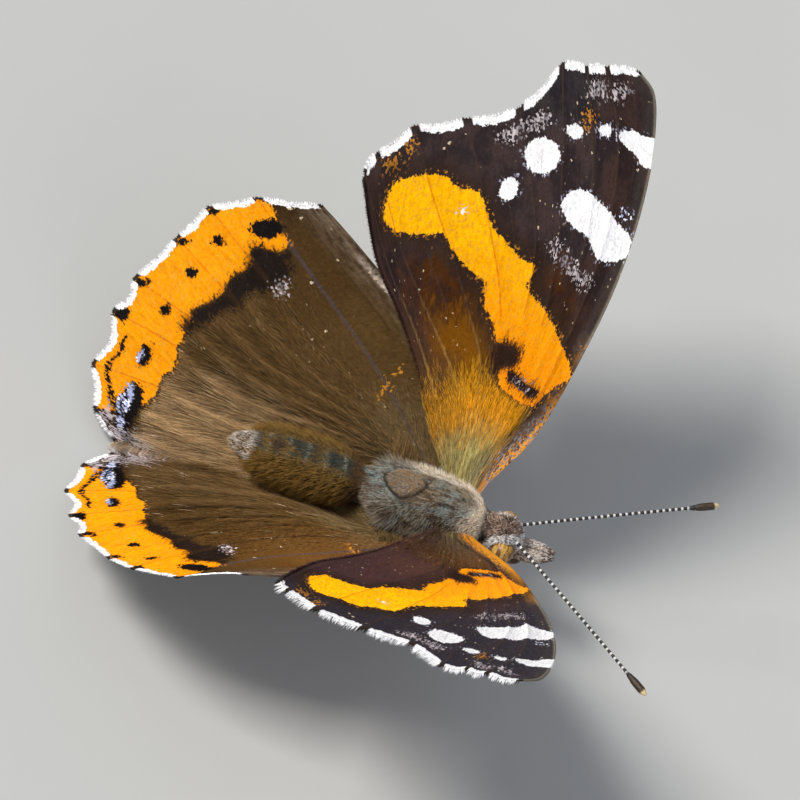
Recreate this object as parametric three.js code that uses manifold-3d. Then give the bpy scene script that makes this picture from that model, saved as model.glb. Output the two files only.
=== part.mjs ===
// A red admiral butterfly at life size, basking with its wings half open.
// Millimetres, +Z up, the floor at Z = 0. The head looks along -Y and the left wings reach along +X.
// The origin lies on the floor under the middle of the whole insect.

import * as THREE from 'three';
import { mergeVertices } from 'three/addons/utils/BufferGeometryUtils.js';
import Module from 'manifold-3d';

const wasm = await Module();
wasm.setup();

// Driving dimensions: places are given as [forward, left, up] from the middle of the thorax.

const GAP = 0.3;
const PITCH = THREE.MathUtils.degToRad(4);
const STANDING_HEIGHT = 8.3;

const AXIS_UP = -0.7;
const THORAX = {
  front: 4.05,
  back: -4.7,
  // Distance along the thorax from its front face, and the radius there.
  profile: [[0, 1.0], [0.35, 1.38], [0.9, 1.78], [1.9, 2.12], [3.2, 2.3], [4.8, 2.32], [6.3, 2.16],
    [7.5, 1.84], [8.3, 1.48], [8.75, 1.15]],
  heightShare: 1.06,
};
const ABDOMEN = {
  back: -14.25,
  profile: [[0, 1.15], [0.35, 1.5], [1.2, 1.72], [2.6, 1.84], [4.0, 1.84], [5.4, 1.72], [6.7, 1.48],
    [7.8, 1.14], [8.6, 0.76], [9.1, 0.38], [9.25, 0]],
  rings: 7,
  ringStep: 0.07,
  stationsPerRing: 3,
  heightShare: 0.97,
};
const HEAD = { at: [5.6, 0, -1.05], halfLength: 1.35, halfWidth: 1.35, halfHeight: 1.4, eyeFlat: 0.98 };
const NECK_RADIUS = 0.95;
const TRUNK_SIDES = { thorax: 28, abdomen: 24, neck: 20 };
const EYE = { at: [5.95, 0, -1.05], radius: 1.05, depth: 0.92, sides: 20, rings: 6 };

const PALP = {
  path: [[6.85, 0.42, -1.78], [7.7, 0.43, -1.86], [8.7, 0.42, -1.72], [9.5, 0.36, -1.45]],
  wide: [0.26, 0.27, 0.27, 0.1],
  high: [0.34, 0.46, 0.38, 0.12],
  steps: 8,
  sides: 10,
  socketDepth: 1.2,
};
const PROBOSCIS = {
  centre: [6.95, 0, -3.22],
  outer: 0.58,
  inner: 0.2,
  turns: 0.86,
  startTurn: 0.62,
  radius: 0.25,
  steps: 26,
};

const ANTENNA = {
  base: [6.46, 0.7, -0.41],
  reach: { left: [12.73, 4.88, 2.85], right: [10.7, 9.47, 0.8] },
  sag: 0.05,
  shaft: 0.25,
  shaftSteps: 10,
  clubLength: 2.5,
  // Share of the club's length, and the radius there.
  club: [[0.2, 0.32], [0.4, 0.38], [0.62, 0.4], [0.84, 0.37], [0.95, 0.27], [1, 0.14]],
  // How far the socket on the head reaches into the head and out of it, and its radius.
  socket: { depth: 0.6, height: 0.2, radius: 0.28 },
};

const LEGS = {
  foreleg: {
    coxa: [2.7, 0.6, -2.3],
    joints: [[3.45, 0.95, -3.3], [4.35, 1.15, -4.0], [5.1, 1.15, -3.75], [5.95, 1.0, -3.15]],
    radii: [0.3, 0.3, 0.28, 0.2],
    steps: 10,
  },
  midleg: {
    coxa: [0.3, 0.8, -2.4],
    joints: [[0.45, 1.55, -3.45], [1.1, 4.2, -3.6]],
    radii: [0.4, 0.3],
    foot: { ankle: [2.3, 4.5], toe: [4.1, 4.7] },
  },
  hindleg: {
    coxa: [-1.5, 0.8, -2.4],
    joints: [[-2.0, 1.45, -3.5], [-5.0, 3.3, -3.95]],
    radii: [0.4, 0.3],
    foot: { ankle: [-6.3, 3.55], toe: [-8.2, 3.65] },
  },
};
const THIGH_RADIUS = 0.45;
const SHIN_RADIUS = { middle: 0.3, end: 0.27 };
const FOOT_RADIUS = 0.27;
// Where a leg's rings lie, as shares of the thigh, of the shin and of the foot.
const KNEE_SHARE = { before: 0.92, after: 0.06 };
const ANKLE_SHARE = { before: 0.12, after: 0.3 };
const LIMB_SIDES = 8;

// The wing plane: its normal as [forward, left, up], and the hinge, which is the plane's own zero.
// Places in the plane are [span, chord]: span runs out along the wing, chord runs forward.

const WING_NORMAL = new THREE.Vector3(-0.131, -0.605, 0.785).normalize();
const WING_HINGE = new THREE.Vector3(2.0, 2.5, 0.03);

const FOREWING = {
  thickness: 0.5,
  rootThickness: 0.8,
  marginThickness: 0.36,
  drop: 0,
  socket: { span: 0.2, chord: [-1.5, 1.7] },
  // Each vein runs from the root to the margin. `ridge` is how far it is raised, `from` the share of
  // its length where it rises out of the membrane, `notch` how far the margin before it is cut in,
  // and `sink` how fast the wing curves down along it out of the wing plane.
  veins: [
    { path: [[0.2, 1.7], [3.8, 4.0], [9.7, 5.9], [15.5, 7.2], [21.3, 7.7], [25.6, 7.45], [28.5, 6.7],
      [29.6, 5.5]], ridge: 0.12, from: 0, notch: 0, sink: 0.0001 },
    { path: [[0.2, 1.15], [6, 3.5], [12, 4.9], [18.6, 5.7], [25, 5.0], [29.4, 3.2]],
      ridge: 0.18, from: 0, notch: -0.15, sink: 0.0002 },
    { path: [[0.2, 0.85], [6, 2.7], [12, 3.9], [18.4, 4.4], [24, 3.5], [29.1, 1.9]],
      ridge: 0.12, from: 0.5, notch: -0.1, sink: 0.0003 },
    { path: [[0.2, 0.6], [6, 1.9], [11.4, 2.8], [17.2, 2.6], [23.9, 1.4], [29.0, 0.25]],
      ridge: 0.14, from: 0.36, notch: -0.2, sink: 0.0005 },
    { path: [[0.2, 0.3], [6, 1.0], [11.6, 1.5], [17.1, 1.1], [22.4, -0.8], [25.4, -1.9]],
      ridge: 0.14, from: 0.42, notch: 0.38, sink: 0.0008 },
    { path: [[0.2, 0.0], [5, 0.3], [9.8, 0.2], [13.1, -0.5], [18, -2.5], [21.7, -4.2], [23.9, -5.2]],
      ridge: 0.14, from: 0.42, notch: 0.27, sink: 0.0011 },
    { path: [[0.2, -0.3], [4.2, -0.3], [8.1, -0.7], [11, -2.1], [13.9, -3.7], [18.6, -6.5], [22.6, -8.6]],
      ridge: 0.18, from: 0, notch: 0.23, sink: 0.0008 },
    { path: [[0.2, -0.65], [4.4, -1.1], [6.2, -1.9], [8.6, -3.5], [11.4, -5.6], [14.8, -7.9],
      [20.2, -10.7]], ridge: 0.14, from: 0.22, notch: 0.2, sink: 0.0006 },
    { path: [[0.2, -1.0], [3.4, -2.3], [6.5, -3.9], [9.6, -5.8], [12.5, -7.9], [15.6, -9.6],
      [18.9, -11.2]], ridge: 0.14, from: 0, notch: -0.1, sink: 0.0004 },
    { path: [[0.2, -1.5], [3.5, -3.3], [6.8, -4.9], [9.9, -6.8], [12.8, -8.9], [15.6, -10.2],
      [17.8, -11.0]], ridge: 0, from: 0, notch: 0, sink: 0.0003 },
  ],
};

const HINDWING = {
  thickness: 0.54,
  rootThickness: 0.8,
  marginThickness: 0.4,
  drop: 1.1,
  socket: { span: 0.1, chord: [-4.9, -1.9] },
  // `drop` is how far the root lies under the forewing's, and `lift` the share of it that a vein keeps
  // further out.
  veins: [
    { path: [[0.1, -1.9], [2.5, -1.3], [5.5, -1.9], [8, -3.4], [10.5, -5.9], [12.8, -9.0], [14.6, -11.4],
      [16.0, -13.4]], ridge: 0.08, from: 0, notch: 0, sink: 0.0012, lift: 1 },
    { path: [[0.1, -2.4], [4, -5.5], [7.6, -9], [10.6, -12.4], [13.4, -15.5], [15.5, -17.8]],
      ridge: 0.16, from: 0, notch: 0.2, sink: 0.0055, lift: 1 },
    { path: [[0.1, -2.8], [3.0, -6.5], [4.9, -9.4], [7.2, -12.3], [9.7, -15.3], [14.2, -20.9]],
      ridge: 0.15, from: 0.2, notch: 0.15, sink: 0.0059, lift: 0.7 },
    { path: [[0.1, -3.1], [2.3, -7.2], [3.9, -10.6], [6.2, -14.4], [9.0, -18.7], [11.7, -22.5]],
      ridge: 0.15, from: 0.3, notch: 0.15, sink: 0.0068, lift: 0.4 },
    { path: [[0.1, -3.4], [1.6, -7.6], [2.9, -11.3], [4.6, -15.8], [6.6, -20.5], [8.4, -24.7]],
      ridge: 0.15, from: 0.35, notch: 0.2, sink: 0.0062, lift: 0.25 },
    { path: [[0.1, -3.7], [0.9, -7.8], [1.8, -11.8], [3.1, -16.4], [4.6, -21.2], [5.9, -25.6]],
      ridge: 0.15, from: 0.25, notch: 0.55, sink: 0.0053, lift: 0.2 },
    { path: [[0.1, -4.0], [0.1, -8.0], [0.4, -12.2], [1.0, -17.0], [1.6, -21.8], [2.1, -26.2]],
      ridge: 0.15, from: 0.15, notch: 0.7, sink: 0.0043, lift: 0.15 },
    { path: [[0.1, -4.4], [-0.9, -8.2], [-1.3, -12.4], [-1.3, -17.0], [-1.1, -21.6], [-0.9, -25.4]],
      ridge: 0.14, from: 0, notch: 0.25, sink: 0.0022, lift: 0.1 },
    { path: [[0.1, -4.9], [-1.9, -8.2], [-2.9, -12.0], [-3.0, -16.5], [-2.9, -20.5], [-2.7, -23.5]],
      ridge: 0, from: 0, notch: -0.25, sink: 0.0006, lift: 0.1 },
  ],
};
const RIDGE_HALF_WIDTH = 0.3;
const UNDERSIDE_RIDGE_SHARE = 0.55;
// How far a wing's socket reaches into the thorax, as a span.
const SOCKET_INNER = -1.6;
// Shares of a vein's length: where the thick root ends, and where the wing thins to its margin.
const ROOT_END = 0.12;
const MARGIN_START = 0.86;
// A ridge rises over this share of its vein, and at the margin this much of it is gone.
const RIDGE_RISE = 0.08;
const RIDGE_FADE = 0.5;
const WING_ROWS = [0, 0.03, 0.08, 0.15, 0.23, 0.32, 0.41, 0.5, 0.59, 0.68, 0.77, 0.86, 0.94, 1];
const ROOT_REACH = 7;

const COLOURS = {
  thorax: 0x6d6a5c, abdomen: 0x4a4033, head: 0x6b5a4c, eye: 0x8a5a1c, antenna: 0x16130f, palp: 0x6a5c54,
  proboscis: 0x5a4020, forewing: 0x2c1d17, hindwing: 0x3a2a1c, leg: 0x8a7a5e,
};

// Vectors and frames

/** A place on the body, [forward, left, up], as a point of the body's frame; side -1 mirrors it. */
function onBody([forward, left, up], side = 1) {
  return new THREE.Vector3(side * left, -forward, up);
}

/** The same place once the body is pitched and lifted over the floor. */
function standing(place, side = 1) {
  const point = onBody(place, side).applyAxisAngle(new THREE.Vector3(1, 0, 0), -PITCH);
  point.z += STANDING_HEIGHT;
  return point;
}

/** A smooth curve through a wing vein's points, with the chord axis kept in y. */
function veinCurve(path) {
  return new THREE.CatmullRomCurve3(path.map(([span, chord]) => new THREE.Vector3(span, chord, 0)));
}

const NORMAL = onBody(WING_NORMAL.toArray());
const SPAN = new THREE.Vector3(1, 0, 0).addScaledVector(NORMAL, -NORMAL.x).normalize();
const CHORD = new THREE.Vector3().crossVectors(SPAN, NORMAL).normalize();

/** A point of the left wing plane in the body's frame, `above` it along the plane's normal. */
function onWing(span, chord, above) {
  return onBody(WING_HINGE.toArray())
    .addScaledVector(SPAN, span)
    .addScaledVector(CHORD, chord)
    .addScaledVector(NORMAL, above);
}

// Closed solids

/** Turns a closed geometry's faces outwards, leaving only positions and an index. */
function closed(geometry) {
  geometry.deleteAttribute('normal');
  geometry.deleteAttribute('uv');
  const merged = mergeVertices(geometry, 1e-4);
  const position = merged.getAttribute('position');
  const index = Array.from(merged.index.array);
  const corner = (i) => new THREE.Vector3().fromBufferAttribute(position, i);
  const faces = [];
  let volume = 0;
  for (let i = 0; i < index.length; i += 3) {
    const [a, b, c] = index.slice(i, i + 3);
    if (a === b || b === c || c === a) continue;
    faces.push([a, b, c]);
    volume += corner(a).dot(corner(b).cross(corner(c)));
  }
  merged.setIndex(faces.flatMap(([a, b, c]) => (volume < 0 ? [a, c, b] : [a, b, c])));
  return merged;
}

/** The geometry as a solid that can be joined and cut. */
function toManifold(geometry) {
  const { index, attributes } = closed(geometry.clone());
  return new wasm.Manifold(new wasm.Mesh({
    numProp: 3,
    vertProperties: new Float32Array(attributes.position.array),
    triVerts: new Uint32Array(index.array),
  }));
}

/** The largest closed body of a joined solid, as a geometry. */
function fromManifold(solid) {
  const bodies = solid.decompose();
  bodies.sort((a, b) => b.volume() - a.volume());
  const mesh = bodies[0].getMesh();
  return indexed(Array.from(mesh.vertProperties), Array.from(mesh.triVerts));
}

/** One geometry from a first piece with others joined on and others cut away. */
function joined(first, added, removed = []) {
  let solid = toManifold(first);
  for (const piece of added) solid = solid.add(toManifold(piece));
  for (const piece of removed) solid = solid.subtract(toManifold(piece));
  return fromManifold(solid);
}

/** A geometry from flat lists of positions and corners. */
function indexed(positions, index) {
  const geometry = new THREE.BufferGeometry();
  geometry.setAttribute('position', new THREE.Float32BufferAttribute(positions, 3));
  geometry.setIndex(index);
  return geometry;
}

/** A solid closed over a run of rings; `corner` gives the point of a ring at an angle. */
function ringed(count, sides, corner) {
  const positions = [];
  const index = [];
  for (let i = 0; i < count; i += 1) {
    for (let k = 0; k < sides; k += 1) {
      const turn = ((k + 0.5) / sides) * 2 * Math.PI;
      positions.push(...corner(i, turn).toArray());
    }
  }
  const last = (count - 1) * sides;
  for (let i = 0; i < last; i += sides) {
    for (let k = 0; k < sides; k += 1) {
      const next = (k + 1) % sides;
      index.push(i + k, i + next, i + sides + next, i + k, i + sides + next, i + sides + k);
    }
  }
  for (let k = 1; k < sides - 1; k += 1) {
    index.push(0, k + 1, k, last, last + k, last + k + 1);
  }
  return indexed(positions, index);
}

/** A closed tube of oval rings along points, each ring wide across and high upwards. */
function tube(points, wide, high, sides = LIMB_SIDES) {
  const up = new THREE.Vector3(0, 0, 1);
  const axes = points.map((_, i) => {
    const ahead = points[Math.min(i + 1, points.length - 1)];
    const behind = points[Math.max(i - 1, 0)];
    const tangent = ahead.clone().sub(behind).normalize();
    const across = new THREE.Vector3().crossVectors(tangent, up).normalize();
    const over = new THREE.Vector3().crossVectors(across, tangent).normalize();
    return { across, over };
  });
  return ringed(points.length, sides, (i, turn) => points[i].clone()
    .addScaledVector(axes[i].across, wide[i] * Math.cos(turn))
    .addScaledVector(axes[i].over, high[i] * Math.sin(turn)));
}

/** A round peg from inside a body to the flat face that another piece meets. */
function peg(inside, face, radius, sides = 10) {
  return tube([inside, face], [radius, radius], [radius, radius], sides);
}

/** Points along a smooth run through a few given ones. */
function smoothRun(points, steps) {
  const curve = new THREE.CatmullRomCurve3(points);
  return Array.from({ length: steps + 1 }, (_, i) => curve.getPoint(i / steps));
}

/** Values along a smooth run through a few given ones. */
function eased(values, steps) {
  return smoothRun(values.map((value, i) => new THREE.Vector3(i, value, 0)), steps).map(({ y }) => y);
}

// The trunk

/** A body turned about its length: the profile holds [distance back from the front, radius]. */
function turned(profile, front, heightShare, sides) {
  const points = [new THREE.Vector2(0, -front)];
  for (const [back, radius] of profile) points.push(new THREE.Vector2(radius, back - front));
  const [length, lastRadius] = profile.at(-1);
  if (lastRadius > 0) points.push(new THREE.Vector2(0, length - front));
  const geometry = new THREE.LatheGeometry(points, sides);
  geometry.scale(1, 1, heightShare);
  geometry.translate(0, 0, AXIS_UP);
  return geometry;
}

/** The flat block on the thorax that one wing root meets. */
function wingSocket(wing, side) {
  const [low, high] = wing.socket.chord;
  const outer = wing.socket.span - GAP;
  const block = new THREE.BoxGeometry(outer - SOCKET_INNER, high - low, wing.rootThickness);
  const basis = new THREE.Matrix4().makeBasis(SPAN, CHORD, NORMAL);
  block.applyMatrix4(basis);
  const middle = onWing((outer + SOCKET_INNER) / 2, (low + high) / 2, -wing.drop);
  block.translate(middle.x, middle.y, middle.z);
  if (side < 0) block.scale(-1, 1, 1);
  return block;
}

/** The stub on the thorax that a leg's first joint meets, ending the gap short of it. */
function coxaPeg(leg, side) {
  const start = onBody(leg.joints[0], side);
  const inside = onBody(leg.coxa, side);
  const face = start.clone().add(inside.clone().sub(start).setLength(GAP));
  return peg(inside, face, leg.radii[0]);
}

/** The thorax with the blocks and stubs that the wings and legs meet. */
function thoraxSolid() {
  const shell = turned(THORAX.profile, THORAX.front, THORAX.heightShare, TRUNK_SIDES.thorax);
  const added = [];
  for (const side of [1, -1]) {
    for (const wing of [FOREWING, HINDWING]) added.push(wingSocket(wing, side));
    for (const leg of Object.values(LEGS)) added.push(coxaPeg(leg, side));
  }
  return joined(shell, added);
}

/** The abdomen, tapered and stepped in rings. */
function abdomenSolid() {
  const length = THORAX.back - GAP - ABDOMEN.back;
  const run = new THREE.CatmullRomCurve3(
    ABDOMEN.profile.map(([back, radius]) => new THREE.Vector3(back, radius, 0)),
  );
  const profile = [];
  const steps = ABDOMEN.rings * ABDOMEN.stationsPerRing;
  for (let i = 0; i < steps; i += 1) {
    const point = run.getPointAt(i / steps);
    const inRing = (i % ABDOMEN.stationsPerRing) / ABDOMEN.stationsPerRing;
    const step = i === 0 ? 0 : ABDOMEN.ringStep * inRing * Math.min(1, point.y);
    profile.push([point.x, point.y + step]);
  }
  profile.push([length, 0]);
  return closed(turned(profile, THORAX.back - GAP, ABDOMEN.heightShare, TRUNK_SIDES.abdomen));
}

// The head

/** Where an antenna leaves its socket, and the way it points there. */
function antennaStart(side) {
  const base = onBody(ANTENNA.base, side);
  const reach = onBody(side > 0 ? ANTENNA.reach.left : ANTENNA.reach.right, side);
  return { base, reach, way: reach.clone().normalize() };
}

/** The head without its eyes: a round skull flattened where they sit, with neck, sockets and mouth. */
function headSolid() {
  const skull = new THREE.SphereGeometry(1, 22, 16);
  skull.scale(HEAD.halfWidth, HEAD.halfLength, HEAD.halfHeight);
  const middle = onBody(HEAD.at);
  skull.translate(middle.x, middle.y, middle.z);
  const neckFace = onBody([THORAX.front + GAP, 0, AXIS_UP]);
  const added = [peg(middle, neckFace, NECK_RADIUS, TRUNK_SIDES.neck)];
  const removed = [];
  for (const side of [1, -1]) {
    const { base, way } = antennaStart(side);
    const { depth, height, radius } = ANTENNA.socket;
    const rim = base.clone().addScaledVector(way, height);
    added.push(peg(base.clone().addScaledVector(way, -depth), rim, radius));
    const palpStart = onBody(PALP.path[0], side);
    const palpWay = onBody(PALP.path[1], side).sub(palpStart).normalize();
    added.push(peg(palpStart.clone().addScaledVector(palpWay, -PALP.socketDepth),
      palpStart.clone().addScaledVector(palpWay, -GAP), PALP.wide[0]));
    const flat = new THREE.BoxGeometry(HEAD.halfWidth, 3 * HEAD.halfLength, 3 * HEAD.halfHeight);
    flat.translate(side * (HEAD.eyeFlat + HEAD.halfWidth / 2), middle.y, middle.z);
    removed.push(flat);
  }
  const mouth = coilPoint(0);
  added.push(peg(middle, mouth.clone().add(new THREE.Vector3(0, 0, GAP)), PROBOSCIS.radius));
  return joined(skull, added, removed);
}

/** One compound eye: a dome whose flat back faces the side of the head. */
function eyeSolid(side) {
  const profile = [new THREE.Vector2(0, 0)];
  for (let i = 0; i <= EYE.rings; i += 1) {
    const turn = (i / EYE.rings) * (Math.PI / 2);
    profile.push(new THREE.Vector2(EYE.radius * Math.cos(turn), EYE.depth * Math.sin(turn)));
  }
  profile[profile.length - 1].x = 0;
  const dome = new THREE.LatheGeometry(profile, EYE.sides);
  dome.rotateZ(-side * (Math.PI / 2));
  const back = onBody(EYE.at, side);
  dome.translate(side * (HEAD.eyeFlat + GAP), back.y, back.z);
  return closed(dome);
}

/** One of the two furred palps that point forward under the face. */
function palpSolid(side) {
  const points = smoothRun(PALP.path.map((place) => onBody(place, side)), PALP.steps);
  return closed(tube(points, eased(PALP.wide, PALP.steps), eased(PALP.high, PALP.steps), PALP.sides));
}

/** A point of the coiled proboscis, which starts at the mouth and winds inwards. */
function coilPoint(share) {
  const turn = Math.PI * (PROBOSCIS.startTurn - 2 * PROBOSCIS.turns * share);
  const radius = THREE.MathUtils.lerp(PROBOSCIS.outer, PROBOSCIS.inner, share);
  const [forward, left, up] = PROBOSCIS.centre;
  return onBody([forward + radius * Math.cos(turn), left, up + radius * Math.sin(turn)]);
}

/** The coiled proboscis under the head. */
function proboscisSolid() {
  const across = new THREE.Vector3(1, 0, 0);
  const nearby = 0.005;
  return closed(ringed(PROBOSCIS.steps + 1, LIMB_SIDES, (i, turn) => {
    const share = i / PROBOSCIS.steps;
    const tangent = coilPoint(share + nearby).sub(coilPoint(share - nearby)).normalize();
    const over = new THREE.Vector3().crossVectors(tangent, across);
    return coilPoint(share)
      .addScaledVector(across, PROBOSCIS.radius * Math.cos(turn))
      .addScaledVector(over, PROBOSCIS.radius * Math.sin(turn));
  }));
}

/** An antenna: an even shaft, a little bowed, with a club that narrows to a blunt tip. */
function antennaSolid(side) {
  const { base, reach, way } = antennaStart(side);
  const length = reach.length();
  const start = ANTENNA.socket.height + GAP;
  const stops = [start];
  const shaftEnd = length - ANTENNA.clubLength;
  const shaftStep = (shaftEnd - start) / ANTENNA.shaftSteps;
  for (let i = 1; i <= ANTENNA.shaftSteps; i += 1) stops.push(start + shaftStep * i);
  const radii = stops.map(() => ANTENNA.shaft);
  for (const [share, radius] of ANTENNA.club) {
    stops.push(shaftEnd + ANTENNA.clubLength * share);
    radii.push(radius);
  }
  const points = stops.map((stop) => {
    const share = stop / length;
    const point = base.clone().addScaledVector(way, stop);
    point.z += ANTENNA.sag * 4 * share * (1 - share);
    return point;
  });
  return closed(tube(points, radii, radii));
}

// The legs

/** A walking leg: thigh and shin, then a foot that lies along the floor on its flat lower side. */
function walkingLeg(leg, side) {
  const flatShare = Math.cos(Math.PI / LIMB_SIDES);
  const footUp = FOOT_RADIUS * flatShare;
  const [hip, knee] = leg.joints.map((place) => standing(place, side));
  const ground = ([forward, left]) => {
    const point = standing([forward, left, 0], side);
    point.z = footUp;
    return point;
  };
  const ankle = ground(leg.foot.ankle);
  const toe = ground(leg.foot.toe);
  const heel = ankle.clone().lerp(toe, ANKLE_SHARE.after);
  const shinEnd = ankle.clone().lerp(knee, ANKLE_SHARE.before);
  const path = [
    [hip, leg.radii[0]],
    [hip.clone().lerp(knee, 0.5), THIGH_RADIUS],
    [hip.clone().lerp(knee, KNEE_SHARE.before), leg.radii[1]],
    [knee.clone().lerp(shinEnd, KNEE_SHARE.after), leg.radii[1]],
    [knee.clone().lerp(shinEnd, 0.5), SHIN_RADIUS.middle],
    [shinEnd, SHIN_RADIUS.end],
    [heel, FOOT_RADIUS],
    [heel.clone().lerp(toe, 0.5), FOOT_RADIUS],
    [toe, FOOT_RADIUS],
  ];
  const radii = path.map(([, radius]) => radius);
  return closed(tube(path.map(([point]) => point), radii, radii));
}

/** A short foreleg folded under the head, as brush-footed butterflies keep it. */
function foldedLeg(leg, side) {
  const points = smoothRun(leg.joints.map((place) => standing(place, side)), leg.steps);
  const radii = eased(leg.radii, leg.steps);
  return closed(tube(points, radii, radii));
}

// The wings

/** How far a wing's middle surface lies above the wing plane at a place; it is never above it. */
function wingHeight(wing, span, chord, sink, lift) {
  const [low, high] = wing.socket.chord;
  const distance = Math.hypot(span, chord - (low + high) / 2);
  const nearRoot = Math.exp(-((distance / ROOT_REACH) ** 2));
  const drop = wing.drop * Math.max(lift, nearRoot);
  return -Math.cbrt(drop ** 3 + (sink * distance ** 2) ** 3);
}

/** The columns of a wing's grid: edges, the crest and two feet of each vein, and the middle between. */
function wingColumns(wing) {
  const columns = [];
  wing.veins.forEach((vein, i) => {
    const isEdge = i === 0 || i === wing.veins.length - 1;
    if (!isEdge) columns.push({ vein: i, toward: i - 1, foot: true });
    columns.push({ vein: i, crest: true });
    if (!isEdge) columns.push({ vein: i, toward: i + 1, foot: true });
    if (i < wing.veins.length - 1) columns.push({ vein: i, toward: i + 1, middle: true });
  });
  return columns;
}

/** One grid place: span, chord, the ridge raised there, and the vein's sink and lift. */
function wingPlace(wing, curves, column, along) {
  const vein = wing.veins[column.vein];
  const here = curves[column.vein].getPointAt(along);
  const rise = vein.from === 0 ? 1 : THREE.MathUtils.smoothstep(along, vein.from, vein.from + RIDGE_RISE);
  const ridge = vein.ridge * rise * (1 - RIDGE_FADE * along ** 6);
  const { sink, lift = 0 } = vein;
  if (column.crest) return { span: here.x, chord: here.y, ridge, sink, lift };
  const other = wing.veins[column.toward];
  const there = curves[column.toward].getPointAt(along);
  const share = column.middle ? 0.5 : Math.min(0.25, RIDGE_HALF_WIDTH / here.distanceTo(there));
  const place = here.clone().lerp(there, share);
  const [end, otherEnd] = [column.vein, column.toward].map((i) => curves[i].getTangentAt(1));
  const outward = end.add(otherEnd).normalize();
  const notch = Math.max(column.vein, column.toward);
  const cut = wing.veins[notch].notch * (column.middle ? 1 : 0.25) * along ** 8;
  place.addScaledVector(outward, -cut);
  return {
    span: place.x,
    chord: place.y,
    ridge: 0,
    sink: THREE.MathUtils.lerp(sink, other.sink, share),
    lift: THREE.MathUtils.lerp(lift, other.lift ?? 0, share),
  };
}

/** One wing: an upper and a lower skin over the same grid of veins, closed round the edge. */
function wingSolid(wing, side) {
  const curves = wing.veins.map((vein) => veinCurve(vein.path));
  const columns = wingColumns(wing);
  const upper = [];
  const lower = [];
  for (const along of WING_ROWS) {
    const nearRoot = 1 - THREE.MathUtils.smoothstep(along, 0, ROOT_END);
    const nearMargin = THREE.MathUtils.smoothstep(along, MARGIN_START, 1);
    const thickness = wing.thickness + (wing.rootThickness - wing.thickness) * nearRoot
      - (wing.thickness - wing.marginThickness) * nearMargin;
    for (const column of columns) {
      const { span, chord, ridge, sink, lift } = wingPlace(wing, curves, column, along);
      const middle = wingHeight(wing, span, chord, sink, lift);
      const raised = along === 0 ? 0 : ridge;
      upper.push(onWing(span, chord, middle + thickness / 2 + raised));
      lower.push(onWing(span, chord, middle - thickness / 2 - raised * UNDERSIDE_RIDGE_SHARE));
    }
  }
  const positions = [...upper, ...lower].flatMap((point) => [side * point.x, point.y, point.z]);
  const wide = columns.length;
  const rows = WING_ROWS.length;
  const under = wide * rows;
  const index = [];
  const quad = (a, b, c, d) => index.push(a, b, c, a, c, d);
  for (let r = 0; r < rows - 1; r += 1) {
    for (let c = 0; c < wide - 1; c += 1) {
      const a = r * wide + c;
      quad(a, a + 1, a + wide + 1, a + wide);
      index.push(under + a, under + a + wide + 1, under + a + 1);
      index.push(under + a, under + a + wide, under + a + wide + 1);
    }
    const first = r * wide;
    const last = first + wide - 1;
    quad(first, first + wide, under + first + wide, under + first);
    quad(last + wide, last, under + last, under + last + wide);
  }
  for (let c = 0; c < wide - 1; c += 1) {
    const end = (rows - 1) * wide + c;
    quad(c + 1, c, under + c, under + c + 1);
    quad(end, end + 1, under + end + 1, under + end);
  }
  return closed(indexed(positions, index));
}

// Assembly

/** A named mesh in its own colour. */
function part(name, geometry, colour, roughness = 0.85) {
  const material = new THREE.MeshStandardMaterial({ color: colour, roughness, metalness: 0 });
  const mesh = new THREE.Mesh(geometry, material);
  mesh.name = name;
  return mesh;
}

const trunk = new THREE.Group();
trunk.rotation.x = -PITCH;
trunk.position.z = STANDING_HEIGHT;
trunk.add(part('thorax', thoraxSolid(), COLOURS.thorax));
trunk.add(part('abdomen', abdomenSolid(), COLOURS.abdomen));
trunk.add(part('head', headSolid(), COLOURS.head));
trunk.add(part('proboscis', proboscisSolid(), COLOURS.proboscis));

const butterfly = new THREE.Group();
butterfly.add(trunk);

for (const [name, side] of [['left', 1], ['right', -1]]) {
  trunk.add(part(`eye_${name}`, eyeSolid(side), COLOURS.eye, 0.25));
  trunk.add(part(`palp_${name}`, palpSolid(side), COLOURS.palp));
  trunk.add(part(`antenna_${name}`, antennaSolid(side), COLOURS.antenna));
  trunk.add(part(`forewing_${name}`, wingSolid(FOREWING, side), COLOURS.forewing));
  trunk.add(part(`hindwing_${name}`, wingSolid(HINDWING, side), COLOURS.hindwing));
  butterfly.add(part(`foreleg_${name}`, foldedLeg(LEGS.foreleg, side), COLOURS.leg));
  butterfly.add(part(`midleg_${name}`, walkingLeg(LEGS.midleg, side), COLOURS.leg));
  butterfly.add(part(`hindleg_${name}`, walkingLeg(LEGS.hindleg, side), COLOURS.leg));
}

const reach = new THREE.Box3().setFromObject(butterfly, true);
const centre = reach.getCenter(new THREE.Vector3());
butterfly.position.set(-centre.x, -centre.y, -reach.min.z);

export default butterfly;
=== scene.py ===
"""A red admiral butterfly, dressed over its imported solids.

Places on the insect are [forward, left, up] in millimetres from the middle of the thorax. The left
side is built first and mirrored, and Stance turns the places into the row's frame, in metres.
"""

import logging
import math
from dataclasses import dataclass, field, replace
from enum import Enum
from functools import cached_property
from typing import Any

import bpy
import numpy as np
from mathutils import Matrix

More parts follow.
